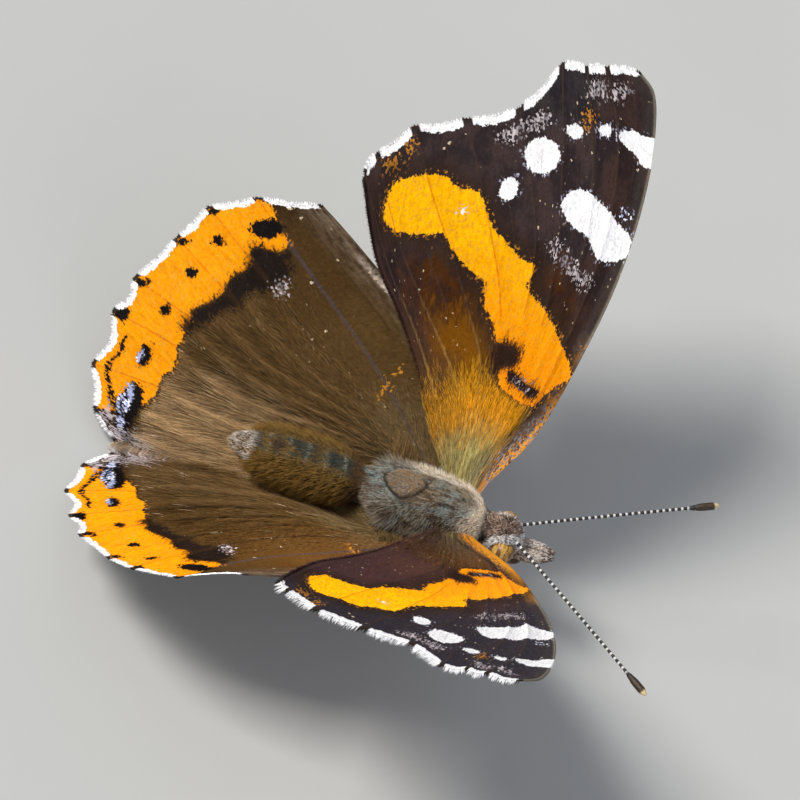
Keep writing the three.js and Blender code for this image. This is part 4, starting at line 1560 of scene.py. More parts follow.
@dataclass(frozen=True)
class Wing:
    """One kind of wing: its veins, its marks and the hair on it."""

    kind: WingKind
    drop: float
    socket: Pair
    veins: tuple[Vein, ...]
    marks: Marks
    finish: WingFinish
    white_segments: tuple[float, ...]
    fringe_width: float
    hair_count: int
    inner_hem: Hem
    outer_hem: Hem = Hem(0.03, 0.3, 0.12, 0.35, (0.08, 0.13), (0.4, 0.65), 1.0)
    splay: float = 0.75
    tuck: float = 0.0
    plane: WingPlane = WingPlane()
    rows: int = 132
    shares: tuple[float, ...] = (0, 0.05, 0.12, 0.22, 0.35, 0.5, 0.65, 0.78, 0.88, 0.95)
    membrane: float = 0.13
    root_thickness: float = 0.5
    root_steps: tuple[float, ...] = (-1.9, -1.3, -0.6)
    root_taper: float = 0.0

    def surface(self) -> Surface:
        """The left wing, upper side and underside, closed round its edge.

        Returns:
            The wing, with its upper faces first.
        """
        rows = np.linspace(0, 1, self.rows)
        runs = np.stack([at_shares(smooth_run(vein.path), rows) for vein in self.veins])
        last = len(self.veins) - 1
        index = np.concatenate([np.repeat(np.arange(last), len(self.shares)), [last - 1]])
        share = np.concatenate([np.tile(self.shares, last), [1.0]])

        def between(values: list[float]) -> Array:
            """Values of the veins, blended over the cells between them."""
            return (np.array(values)[index] * (1 - share) + np.array(values)[index + 1] * share)[:, None]

        places = runs[index] * (1 - share)[:, None, None] + runs[index + 1] * share[:, None, None]
        ends = unit(unit(runs[:, -1] - runs[:, -4])[index] + unit(runs[:, -1] - runs[:, -4])[index + 1])
        notches = np.array([vein.notch for vein in self.veins])[index + 1]
        cut = (notches * np.sin(np.pi * share) ** 1.6)[:, None] * rows**8
        places = places - ends[:, None] * cut[..., None]

        ridge, to_vein = self._ridges(rows, runs, places, index)
        sink, lift = ([getattr(vein, key) for vein in self.veins] for key in ("sink", "lift"))
        above = self._height(places, between(sink), between(lift))
        above = above - 0.1 * (np.sin(np.pi * share) ** 2)[:, None] * smoothstep(rows, 0.1, 0.6)
        inner = smoothstep(index + share, last - 0.9, last)[:, None]
        above = above + self.tuck * inner * smoothstep(rows, 0.0, 0.1) * (1 - smoothstep(rows, 0.42, 0.8))
        thick = self.membrane + (self.root_thickness - self.membrane) * (1 - smoothstep(rows, 0, 0.12))
        thick = thick - 0.06 * smoothstep(rows, 0.86, 1)
        fields = self._fields(places, rows, runs, to_vein, index, share)

        places, above, ridge, thick = self._with_root(places, above, ridge, thick)
        fields = {key: self._padded(value) for key, value in fields.items()}
        upper = self.plane.at(places, above + thick / 2 + ridge * 0.55)
        lower = self.plane.at(places, above - thick / 2 - ridge * 0.35)
        return self._closed(upper, lower, places, fields)

    def _ridges(self, rows: Array, runs: Array, places: Array, index: Array) -> tuple[Array, Array]:
        """How far the veins stand up at each place, and the distance to the nearest one.

        Args:
            rows: Each row's share of the way to the margin.
            runs: The points of each vein.
            places: The places, on the wing.
            index: The vein before each place.

        Returns:
            The ridge and the distance, for each place.
        """
        ridge = np.zeros(places.shape[:2])
        to_vein = np.full(places.shape[:2], 3.0)
        for step in (0, 1):
            near = runs[index + step]
            gap = np.linalg.norm(places - near, axis=2)
            risen = np.stack([
                np.ones_like(rows) if vein.start == 0 else smoothstep(rows, vein.start, vein.start + 0.08)
                for vein in self.veins
            ])[index + step]
            high = np.array([vein.ridge for vein in self.veins])[index + step][:, None]
            shaped = high * risen * smoothstep(rows, 0.02, 0.14) * (1 - 0.5 * rows**6)
            ridge = np.maximum(ridge, shaped * np.exp(-((gap / 0.13) ** 2)))
            shown = np.where(high * risen > 0.03, gap, 3.0)
            to_vein = np.minimum(to_vein, shown)
        return ridge, to_vein

    def _height(self, places: Array, sink: Array, lift: Array) -> Array:
        """How far the wing's middle lies over the wing plane; it is never above it.

        Args:
            places: Places on the wing.
            sink: How fast the wing curves down there.
            lift: The share of the root's drop that is kept there.

        Returns:
            A height for each place.
        """
        low, high = self.socket
        reach = np.hypot(places[..., 0], places[..., 1] - (low + high) / 2)
        drop = self.drop * np.maximum(lift, np.exp(-((reach / 7) ** 2)))
        return -np.cbrt(drop**3 + (sink * reach**2) ** 3)

    def _fields(
        self, places: Array, rows: Array, runs: Array, to_vein: Array, index: Array, share: Array
    ) -> dict[str, Array]:
        """What the wing's materials read at each place.

        Args:
            places: Places on the wing.
            rows: Each row's share of the way to the margin.
            runs: The points of each vein.
            to_vein: How far the nearest vein is.
            index: The vein before each place.
            share: How far each place is to the next vein.

        Returns:
            The fields by name.
        """
        flat = places.reshape(-1, 2)
        shape = places.shape[:2]
        column = index + share
        lengths = np.linalg.norm(np.diff(runs, axis=1), axis=2).sum(axis=1)
        low, high = self.socket
        reach = np.hypot(flat[:, 0], flat[:, 1] - (low + high) / 2).reshape(shape)
        margin = (1 - rows)[None] * (lengths[index] * (1 - share) + lengths[index + 1] * share)[:, None]
        white = np.array(self.white_segments)[index]
        middle = np.minimum(share, 1 - share) * 2
        segment = (white * smoothstep(middle, 0.02, 0.34))[:, None] + np.zeros(shape)
        warm = 1 - smoothstep(reach, 7.5, 19.0) if self.kind is WingKind.FORE else np.full(shape, 0.15)
        found = {
            "reach": reach,
            "vein": to_vein,
            "segment": segment,
            "fringe": self.fringe_width * (0.55 + 0.6 * segment) - margin,
            "costal": distance_to(flat, runs[0]).reshape(shape),
            "warm": warm,
            "fan": (column / (len(self.veins) - 1))[:, None] + np.zeros(shape),
            "lead": distance_to(flat, runs[1]).reshape(shape),
            "fold": 3 - 3 * smoothstep(rows, 0.3, 0.5)[None] + (abs(share - 0.5) * 3)[:, None],
            "hairy": np.zeros(shape),
            "tone": np.full(shape, 0.5),
            "tip": np.zeros(shape),
            # 0 here; 1 on the mirrored right wing, whose colours carry painted light and shade.
            "turned_off": np.zeros(shape),
            "column": column[:, None] + np.zeros(shape),
            "along": rows[None] + np.zeros(shape),
        }
        for key, value in self.marks.fields(flat).items():
            found[key] = value.reshape(shape)
        across = column[:, None] * (1.1 + 0.9 * rows[None])
        found["grain"] = np.stack([across, reach, np.full(shape, float(self.kind is WingKind.HIND))], axis=-1)
        return found

    def _padded(self, values: Array) -> Array:
        """Values with their first row repeated over the rows that run into the body."""
        return np.concatenate([np.repeat(values[:, :1], len(self.root_steps), axis=1), values], axis=1)

    def _with_root(self, places: Array, above: Array, ridge: Array, thick: Array) -> tuple[Array, ...]:
        """The grid with the rows that run from the hinge into the body.

        Args:
            places: Places on the wing.
            above: How far the middle lies over the wing plane.
            ridge: How far the veins stand up.
            thick: How thick the wing is.

        Returns:
            The same four with the rows added.
        """
        padded = self._padded(places)
        middle = sum(self.socket) / 2
        for row, step in enumerate(self.root_steps):
            padded[:, row, 0] += step
            padded[:, row, 1] = middle + (padded[:, row, 1] - middle) * (1 + step * self.root_taper)
        return padded, self._padded(above), self._padded(ridge), np.concatenate([
            np.full(len(self.root_steps), self.root_thickness), thick
        ])

    def _closed(self, upper: Array, lower: Array, places: Array, fields: dict[str, Array]) -> Surface:
        """Closes the two sides of a grid into one surface.

        Args:
            upper: The upper side's grid.
            lower: The underside's grid.
            places: The grid's places on the wing.
            fields: What the materials read.

        Returns:
            The closed surface.
        """
        columns, rows = upper.shape[:2]
        down = columns * rows
        points = np.vstack([upper.reshape(-1, 3), lower.reshape(-1, 3)])
        c, r = np.meshgrid(np.arange(columns - 1), np.arange(rows - 1), indexing="ij")
        a = (c * rows + r).ravel()
        top = np.stack([a, a + 1, a + rows + 1, a, a + rows + 1, a + rows], axis=-1).reshape(-1, 3)
        under = top[:, ::-1] + down
        loop = np.concatenate([
            np.arange(rows - 1),
            np.arange(columns - 1) * rows + rows - 1,
            (columns - 1) * rows + np.arange(rows - 1, 0, -1),
            np.arange(columns - 1, 0, -1) * rows,
        ])
        after = np.roll(loop, -1)
        rim = np.stack([loop + down, after + down, after, loop + down, after, loop], axis=-1).reshape(-1, 3)
        faces = np.vstack([top, under, rim])
        slots = np.concatenate([np.zeros(len(top)), np.ones(len(under)), np.zeros(len(rim))])

        flat = places.reshape(-1, 2)
        spots = (flat - WING_MAP_FROM) / WING_MAP_SIZE * (0.44, 0.94) + (0.03, 0.02)
        outward = unit(spots - spots.mean(axis=0)) * 0.002
        corner_map = np.vstack([spots[top], spots[top][:, ::-1] + (0.5, 0), np.zeros((len(rim), 3, 2))])
        above = rim % down
        rim_map = spots[above] + np.where((rim >= down)[..., None], outward[above], 0.0)
        corner_map[-len(rim):] = rim_map
        doubled = {
            key: np.concatenate([value.reshape(down, *value.shape[2:])] * 2) for key, value in fields.items()
        }
        way = np.gradient(upper, axis=1).reshape(-1, 3)
        doubled["way"] = unit(np.vstack([way, way]))
        doubled["grain"][down:, 0] += 0.4
        return Surface(f"{self.kind.value}_left_scales", points, faces, doubled, corner_map, slots)

    def coat(self, wing: Surface, rng: np.random.Generator) -> Surface:
        """The left wing's hair.

        Args:
            wing: The surface of this wing.
            rng: The run of chance numbers.

        Returns:
            The hair.
        """
        column, along, band = wing.fields["column"], wing.fields["along"], wing.fields["band"]
        if self.kind is WingKind.HIND:
            bare = (wing.fields["black"] > -0.3) | (band > -0.2) | (wing.fields["shadow"] > 0.1)
            weight = smoothstep(column, 0.9, 3.4) * (1 - smoothstep(along, 0.62, 0.9)) * ~bare
            weight = np.maximum(weight, 0.6 * (1 - smoothstep(along, 0.12, 0.35)))
            weight = weight * (1 + 1.2 * smoothstep(column, 5.0, 7.2))
            longest = 0.8 + 1.7 * smoothstep(column, 1.8, 6.0)
        else:
            weight = (1 - smoothstep(along, 0.06, 0.34)) * smoothstep(column, 0.8, 2.2) * (band < -0.3)
            longest = 0.75 + 0.3 * (1 - smoothstep(along, 0.1, 0.3))
        clear = -np.maximum.reduce([band, wing.fields["black"], wing.fields["shadow"]])
        longest = np.minimum(longest, np.maximum(0.3, clear * 0.9))
        skin = replace(wing, fields={**wing.fields, "longest": longest})
        roots = skin.scattered(weight + 1e-6, self.hair_count, rng, self._upper_faces(wing))
        count = len(roots.places)
        roots.fields["hairy"] = np.ones(count)
        lengths = roots.fields.pop("longest") * rng.uniform(0.5, 1.2, count)
        ways = roots.fields["way"] + roots.normals * rng.uniform(0.03, 0.14, count)[:, None]
        ways = ways + rng.normal(0, 0.055, (count, 3))
        lock = roots.fields["column"] * 7.5 + 1.7 * np.sin(roots.fields["reach"] * 0.42)
        across = np.cross(roots.normals, roots.fields["way"])
        swing = 1.0 if self.kind is WingKind.HIND else 0.3
        ways = ways + across * (np.cos(lock) * 0.17 * swing)[:, None]
        tone = np.clip(rng.normal(0.55, 0.24, count) + np.sin(lock) * 0.16 * swing, 0.05, 1.5)
        widths = rng.uniform(0.02, 0.038, count)
        return grow(f"{self.kind.value}_left_coat", roots, ways, lengths, widths, tone, 0.04)

    def _upper_faces(self, wing: Surface) -> int:
        """How many faces the upper side has, which are the first; the underside has as many."""
        return int(wing.slots.sum())

    def fringe(self, wing: Surface, rng: np.random.Generator) -> Surface:
        """The fringe of narrow scales along the wing's outer and inner margins.

        Args:
            wing: The surface of this wing.
            rng: The run of chance numbers.

        Returns:
            The fringe.
        """
        rows = self.rows + len(self.root_steps)
        columns = (len(self.veins) - 1) * len(self.shares) + 1
        outer = np.arange(columns) * rows + rows - 1
        inner = (columns - 1) * rows + np.arange(rows - 1, 1, -1)
        hems = ((outer, self.outer_hem), (inner, self.inner_hem))
        parts = [self._hemmed(wing, line, hem, rng) for line, hem in hems]
        return joined(f"{self.kind.value}_left_fringe", parts)

    def _hemmed(self, wing: Surface, line: Array, hem: Hem, rng: np.random.Generator) -> Surface:
        """The fringe along one margin.

        Args:
            wing: The surface of this wing.
            line: The points of the margin, by number.
            hem: What its fringe is like.
            rng: The run of chance numbers.

        Returns:
            The fringe.
        """
        run = wing.points[line]
        reached = np.concatenate([[0], np.cumsum(np.linalg.norm(np.diff(run, axis=0), axis=1))])
        count = int(reached[-1] / hem.spacing)
        place = np.interp(np.sort(rng.uniform(0, reached[-1], count)), reached, np.arange(len(line)))
        low = np.minimum(place.astype(int), len(line) - 2)

        def along(values: Array) -> Array:
            """Values of the margin's points at the scales' places."""
            share = (place - low).reshape(-1, *([1] * (values.ndim - 1)))
            return values[low] * (1 - share) + values[low + 1] * share

        way = along(wing.fields["way"][line])
        out = unit(np.cross(along(unit(np.gradient(run, axis=0))), self.plane.axes()[2]))
        outward = way if hem.pale else run.mean(axis=0) - wing.points.mean(axis=0)
        out = out * np.sign((out * outward).sum(axis=1).mean())
        fields = {key: along(value[line]) for key, value in wing.fields.items()}
        upper = self._upper_faces(wing)
        spots = np.zeros((len(wing.points), 2))
        spots[wing.faces[:upper].ravel()] = wing.map[:upper].reshape(-1, 2)
        roots = Roots(along(run) - out * 0.1, along(wing.normals()[line]), fields, along(spots[line]))
        ways = out + way * hem.lean + rng.normal(0, hem.spread, (count, 3))
        white = fields["segment"] * hem.pale
        lengths = hem.reach * rng.uniform(0.6, 1.15, count) * (0.75 + 0.4 * white)
        fields.update({
            "segment": white, "fringe": np.full(count, hem.pale - 0.5), "hairy": np.full(count, hem.hairy)
        })
        widths = rng.uniform(*hem.widths, count)
        return grow("fringe", roots, ways, lengths, widths, rng.uniform(*hem.tones, count), 0.0)

    def splayed(self, fringe: Surface) -> Surface:
        """The fringe as the near wing wears it: longer, and turned towards the underside.

        Args:
            fringe: The left wing's fringe.

        Returns:
            The same fringe with its outer scales longer and turned down.
        """
        if self.kind is WingKind.HIND:
            return fringe
        blades = fringe.points.reshape(-1, BLADE_POINTS, 3)
        lean = blades[:, -1] - blades[:, :3].mean(axis=1)
        long = np.linalg.norm(lean, axis=1, keepdims=True)
        outer = fringe.fields["fringe"].reshape(-1, BLADE_POINTS)[:, :1] > 0
        moved = (lean * self.splay - self.plane.axes()[2] * long) * outer
        points = blades + moved[:, None] * fringe.fields["tip"].reshape(-1, BLADE_POINTS, 1)
        return Surface(fringe.name, points.reshape(-1, 3), fringe.faces, fringe.fields, fringe.map)


FOREWING = Wing(
    kind=WingKind.FORE,
    drop=0.0,
    socket=(-1.5, 1.7),
    veins=(
        Vein(((0.2, 1.7), (3.8, 4.0), (9.7, 5.9), (15.5, 7.2), (21.3, 7.7), (25.6, 7.45), (28.5, 6.7),
              (29.6, 5.5)), 0.12, 0, 0, 0.0001),
        Vein(((0.2, 1.15), (6, 3.5), (12, 4.9), (18.6, 5.7), (25, 5.0), (29.4, 3.2)), 0.18, 0, -0.15, 0.0002),
        Vein(
            ((0.2, 0.85), (6, 2.7), (12, 3.9), (18.4, 4.4), (24, 3.5), (29.1, 1.9)),
            0.12, 0.5, -0.1, 0.0003,
        ),
        Vein(
            ((0.2, 0.6), (6, 1.9), (11.4, 2.8), (17.2, 2.6), (23.9, 1.4), (29.0, 0.25)),
            0.14, 0.36, -0.2, 0.0005,
        ),
        Vein(
            ((0.2, 0.3), (6, 1.0), (11.6, 1.5), (17.1, 1.1), (22.4, -0.8), (25.4, -1.9)),
            0.14, 0.42, 0.38, 0.0008,
        ),
        Vein(((0.2, 0.0), (5, 0.3), (9.8, 0.2), (13.1, -0.5), (18, -2.5), (21.7, -4.2), (23.9, -5.2)),
             0.14, 0.42, 0.27, 0.0011),
        Vein(((0.2, -0.3), (4.2, -0.3), (8.1, -0.7), (11, -2.1), (13.9, -3.7), (18.6, -6.5), (22.6, -8.6)),
             0.18, 0, 0.23, 0.0008),
        Vein(((0.2, -0.65), (4.4, -1.1), (6.2, -1.9), (8.6, -3.5), (11.4, -5.6), (14.8, -7.9), (20.2, -10.7)),
             0.14, 0.22, 0.2, 0.0006),
        Vein(((0.2, -1.0), (3.4, -2.3), (6.5, -3.9), (9.6, -5.8), (12.5, -7.9), (15.6, -9.6), (18.9, -11.2)),
             0.14, 0, -0.1, 0.0004),
        Vein(((0.2, -1.5), (3.5, -3.3), (6.8, -4.9), (9.9, -6.8), (12.8, -8.9), (15.6, -10.2), (17.8, -11.0)),
             0, 0, 0, 0.0003),
    ),
    marks=FOREWING_MARKS,
    finish=WingFinish(
        kind=WingKind.FORE,
        zones=(
            (0.0, (0.39, 0.34, 0.14)), (3.2, (0.6, 0.3, 0.012)), (6.9, (0.17, 0.062, 0.003)),
            (11.2, (0.065, 0.021, 0.003)), (15.5, (0.05, 0.032, 0.031)), (25.0, (0.031, 0.026, 0.029)),
        ),
        vein_gold=(0.42, 0.24, 0.05),
        vein_dark=(0.055, 0.034, 0.026),
        hair=(0.68, 0.32, 0.016),
        inner_hair=(0.44, 0.38, 0.15),
        band_tail=(0.97, 0.46, 0.001),
        band_front=(0.95, 0.29, 0.001),
        band_fray=0.55,
        shade=(0.024, 0.011, 0.008),
        blue_rarity=0.72,
    ),
    white_segments=(0.9, 0.9, 0.9, 1.0, 1.0, 0.9, 0.9, 0.95, 0.3),
    fringe_width=0.46,
    hair_count=9000,
    inner_hem=Hem(0.022, 0.35, 0.24, 0.6, (0.03, 0.055), (0.4, 0.65), 0.0),
    root_taper=0.27,
)
HINDWING = Wing(
    kind=WingKind.HIND,
    drop=1.1,
    socket=(-4.9, -1.9),
    veins=(
        Vein(((0.1, -1.9), (2.5, -1.3), (5.5, -1.9), (8, -3.4), (10.5, -5.9), (12.8, -9.0), (14.6, -11.4),
              (16.0, -13.4)), 0.08, 0, 0, 0.0012, 1),
        Vein(((0.1, -2.4), (4, -5.5), (7.6, -9), (10.6, -12.4), (13.4, -15.5), (15.5, -17.8)),
             0.16, 0, 0.2, 0.0055, 1),
        Vein(((0.1, -2.8), (3.0, -6.5), (4.9, -9.4), (7.2, -12.3), (9.7, -15.3), (14.2, -20.9)),
             0.15, 0.2, 0.15, 0.0059, 0.7),
        Vein(((0.1, -3.1), (2.3, -7.2), (3.9, -10.6), (6.2, -14.4), (9.0, -18.7), (11.7, -22.5)),
             0.15, 0.3, 0.15, 0.0068, 0.4),
        Vein(((0.1, -3.4), (1.6, -7.6), (2.9, -11.3), (4.6, -15.8), (6.6, -20.5), (8.4, -24.7)),
             0.15, 0.35, 0.2, 0.0062, 0.25),
        Vein(((0.1, -3.7), (0.9, -7.8), (1.8, -11.8), (3.1, -16.4), (4.6, -21.2), (5.9, -25.6)),
             0.15, 0.25, 0.55, 0.0053, 0.2),
        Vein(((0.1, -4.0), (0.1, -8.0), (0.4, -12.2), (1.0, -17.0), (1.6, -21.8), (2.1, -26.2)),
             0.15, 0.15, 0.7, 0.0043, 0.15),
        Vein(((0.1, -4.4), (-0.9, -8.2), (-1.3, -12.4), (-1.3, -17.0), (-1.1, -21.6), (-0.9, -25.4)),
             0.14, 0, 0.25, 0.0022, 0.1),
        Vein(((0.1, -4.9), (-1.3, -6.2), (-2.1, -8.6), (-2.9, -12.0), (-3.0, -16.5), (-2.9, -20.5),
              (-2.7, -23.5)), 0, 0, -0.25, 0.0006, 0.1),
    ),
    marks=HINDWING_MARKS,
    finish=WingFinish(
        kind=WingKind.HIND,
        zones=(
            (0.0, (0.12, 0.08, 0.035)), (5.0, (0.085, 0.047, 0.015)), (12.0, (0.062, 0.033, 0.01)),
            (18.5, (0.034, 0.018, 0.007)),
        ),
        vein_gold=(0.06, 0.035, 0.015),
        vein_dark=(0.028, 0.016, 0.009),
        hair=(0.21, 0.125, 0.05),
        inner_hair=(0.68, 0.47, 0.25),
        band_tail=(0.92, 0.33, 0.001),
        band_front=(0.82, 0.19, 0.001),
        band_fray=0.5,
        shade=(0.01, 0.006, 0.005),
        blue_rarity=0.42,
    ),
    white_segments=(1.0, 1.0, 1.0, 1.0, 1.0, 1.0, 1.0, 0.55),
    fringe_width=0.3,
    hair_count=19500,
    inner_hem=Hem(0.022, 1.4, 0.24, 0.6, (0.03, 0.055), (0.1, 0.95), 0.0, 1.0),
    tuck=1.15,
)


# The body


def along_skin(way: Array, normals: Array) -> Array:
    """One way laid flat on the skin at each place."""
    return unit(way - normals * (normals @ way)[:, None] + 1e-6)


@dataclass(frozen=True)
class Trunk:
    """Head, thorax and abdomen as one skin, with the coat on it.

    Each station is [forward, half width, half height, middle up] of the skin.
    """

    stations: tuple[tuple[float, float, float, float], ...] = (
        (-14.15, 0.03, 0.03, -0.7), (-14.0, 0.32, 0.31, -0.7), (-13.6, 0.66, 0.64, -0.7),
        (-12.8, 1.08, 1.04, -0.7), (-11.6, 1.42, 1.37, -0.7), (-10.3, 1.62, 1.57, -0.7),
        (-8.9, 1.7, 1.65, -0.7), (-7.5, 1.68, 1.63, -0.7), (-6.3, 1.54, 1.5, -0.7), (-5.5, 1.36, 1.33, -0.7),
        (-4.9, 1.22, 1.25, -0.7), (-4.3, 1.3, 1.4, -0.7), (-3.5, 1.55, 1.7, -0.7), (-2.3, 1.86, 2.0, -0.7),
        (-0.8, 2.02, 2.16, -0.7), (0.8, 2.0, 2.14, -0.7), (2.0, 1.86, 1.98, -0.7), (2.9, 1.64, 1.74, -0.72),
        (3.5, 1.36, 1.42, -0.76), (3.9, 1.1, 1.16, -0.83), (4.2, 0.94, 1.0, -0.92), (4.5, 0.94, 1.0, -0.98),
        (4.9, 1.06, 1.12, -1.03), (5.5, 1.18, 1.24, -1.05), (6.1, 1.12, 1.18, -1.08),
        (6.55, 0.85, 0.92, -1.15), (6.82, 0.45, 0.55, -1.25), (6.88, 0.05, 0.06, -1.3),
    )
    rings: int = 190
    sides: int = 84
    thorax_tufts: int = 19600
    abdomen_tufts: int = 16000
    head_tufts: int = 7500
    plate_middle: float = -2.1
    plate_half: Pair = (1.45, 1.2)
    plate_roundness: float = 1.55

    def surface(self) -> Surface:
        """The bare skin.

        Returns:
            The skin of head, thorax and abdomen, with closed ends.
        """
        run = at_shares(smooth_run(self.stations, 12), np.linspace(0, 1, self.rings))
        forward, wide, high, up = run.T
        turn = np.linspace(-np.pi, np.pi, self.sides, endpoint=False)
        in_segment = np.mod(forward + TAIL_LENGTH, SEGMENT) / SEGMENT
        ringed = 1 + 0.035 * (0.5 - in_segment) * (forward < -5.2) * (wide > 0.5)
        left = np.sin(turn)[None] * (wide * ringed)[:, None]
        over = up[:, None] + np.cos(turn)[None] * (high * ringed)[:, None]
        points = np.stack([forward[:, None] + 0 * left, left, over], axis=-1)
        depth = self._groove(points)
        normal = np.stack([0 * left, np.sin(turn)[None] + 0 * left, np.cos(turn)[None] + 0 * left], axis=-1)
        points = points - normal * (0.16 * smoothstep(depth, -0.2, 0.08))[..., None]
        ends = run[[0, -1]][:, [0, 0, 3]] * (1, 0, 1)
        everything = np.vstack([points.reshape(-1, 3), ends])
        faces = ring_faces(self.rings, self.sides)
        share = np.repeat(np.linspace(0, 1, self.rings), self.sides)
        angle = np.tile(np.arange(self.sides) / self.sides, self.rings)
        corner_map = ring_map(faces, share, angle, 0.95)
        return Surface("body_skin", everything, faces, self._fields(everything), corner_map)

    def _groove(self, places: Array) -> Array:
        """How near each place is to the groove round the thorax's hind plate; 0 is on it."""
        return 0.12 - abs(self._plate(places))

    def _plate(self, places: Array) -> Array:
        """How deep each place lies inside the thorax's hind plate, on the back only.

        Args:
            places: Places on the body, in millimetres.

        Returns:
            A depth in millimetres for each place.
        """
        forward = abs(places[..., 0] - self.plate_middle) / self.plate_half[0]
        left = abs(places[..., 1]) / self.plate_half[1]
        power = self.plate_roundness
        inside = (1 - (forward**power + left**power) ** (1 / power)) * self.plate_half[0]
        return np.where(places[..., 2] > -0.7, inside, -1.0)

    def _fields(self, places: Array) -> dict[str, Array]:
        """What the fur's material reads at each place.

        Args:
            places: Places on the body, in millimetres.

        Returns:
            The fields by name.
        """
        from_eye = np.hypot(places[:, 0] - EYE_MIDDLE[0], places[:, 2] - EYE_MIDDLE[2])
        furrow = 0.09 - np.hypot(
            np.maximum(abs(places[:, 0] - 1.0) - 0.55, 0), abs(places[:, 1]) - 1.05 + 0.12 * places[:, 0]
        )
        back = places[:, 2] > 0
        return {
            "place": places,
            "groove": np.maximum(self._groove(places), np.where(back, furrow, -1.0)),
            "plate": self._plate(places),
            "eye_rim": 1 - abs(from_eye - 1.0) / 0.35,
            "tone": np.full(len(places), 0.45),
            "tip": np.full(len(places), 0.2),
        }

    def coats(self, skin: Surface, rng: np.random.Generator) -> dict[str, Surface]:
        """The fur of the thorax, the abdomen and the head.

        Args:
            skin: The bare skin.
            rng: The run of chance numbers.

        Returns:
            A coat for each node that it stands for.
        """
        return {
            "thorax": self._thorax_coat(skin, rng),
            "abdomen": self._abdomen_coat(skin, rng),
            "head": self._head_coat(skin, rng),
        }

    def _thorax_coat(self, skin: Surface, rng: np.random.Generator) -> Surface:
        """Short fur on the back, and long soft fur on the flanks over the wing roots.

        Args:
            skin: The bare skin.
            rng: The run of chance numbers.

        Returns:
            The fur.
        """
        forward = skin.points[:, 0]
        weight = smoothstep(forward, -5.2, -4.6) * (1 - smoothstep(forward, 3.7, 4.3))
        weight = weight * (1 - 0.93 * smoothstep(skin.fields["groove"], -0.08, 0.02))
        weight = weight * (0.7 + 0.3 * smoothstep(skin.points[:, 2], -2.2, -0.6))
        roots = skin.scattered(weight + NEVER, self.thorax_tufts, rng)
        places, normals = roots.places, roots.normals
        count = len(places)
        left = places[:, 1]
        flank = smoothstep(abs(left), 1.15, 1.9) * smoothstep(places[:, 2], -1.7, -0.4)
        shoulder = smoothstep(places[:, 0], 1.7, 2.8) * smoothstep(abs(left), 0.6, 1.25)
        shoulder = shoulder * smoothstep(places[:, 2], -1.6, -0.6)
        back = along_skin(BACKWARD, normals) * (0.95 - 0.55 * flank)[:, None]
        spread = np.sign(left) * (0.75 * flank + 0.65 * shoulder)
        outward = np.stack([np.zeros(count), spread, 0.15 * flank], axis=-1)
        rear = flank * smoothstep(-places[:, 0], 1.6, 3.2)
        rise = 0.17 + 0.3 * flank + 0.15 * shoulder
        ways = back + outward + normals * rise[:, None] + rng.normal(0, 0.12, (count, 3))
        droop = smoothstep(abs(left), 1.5, 1.9) * (1 - smoothstep(places[:, 2], -0.9, -0.1))
        droop = droop * smoothstep(places[:, 2], -1.9, -1.3) * (1 - smoothstep(places[:, 0], 0.6, 1.6))
        ways = ways - 0.7 * droop[:, None] * UPWARD
        lengths = 0.33 + 0.5 * droop + 0.5 * flank + 0.45 * shoulder * (1 - 0.6 * flank) + 0.8 * rear
        lengths = lengths * rng.uniform(0.6, 1.2, count)
        tone = np.clip(rng.normal(0.54, 0.25, count), 0.05, 1.3)
        return grow("thorax_coat", roots, ways, lengths, rng.uniform(0.026, 0.046, count), tone, 0.06)

    def _abdomen_coat(self, skin: Surface, rng: np.random.Generator) -> Surface:
        """Short flat fur on the back, and longer brown fur on the sides and at the waist.

        Args:
            skin: The bare skin.
            rng: The run of chance numbers.

        Returns:
            The fur.
        """
        forward = skin.points[:, 0]
        weight = 1 - smoothstep(forward, -5.2, -4.7)
        roots = skin.scattered(weight + NEVER, self.abdomen_tufts, rng)
        places, normals = roots.places, roots.normals
        count = len(places)
        flank = smoothstep(abs(places[:, 1]), 0.75, 1.4) + 0.7 * smoothstep(-places[:, 2], 0.9, 1.6)
        flank = np.minimum(flank, 1) * smoothstep(places[:, 0], -13.5, -11.5)
        outward = np.stack([np.zeros(count), np.sign(places[:, 1]) * flank * 0.5, np.zeros(count)], axis=-1)
        tip = 1 - smoothstep(places[:, 0], -13.7, -12.6)
        rise = 0.13 + 0.35 * flank + 0.3 * tip
        ways = along_skin(BACKWARD, normals) + outward + normals * rise[:, None]
        ways = ways + rng.normal(0, 0.13, (count, 3))
        lengths = (0.3 + 0.85 * flank + 0.12 * tip) * rng.uniform(0.6, 1.2, count)
        tone = np.clip(rng.normal(0.5, 0.24, count), 0.05, 1.2)
        return grow("abdomen_coat", roots, ways, lengths, rng.uniform(0.032, 0.06, count), tone, 0.05)

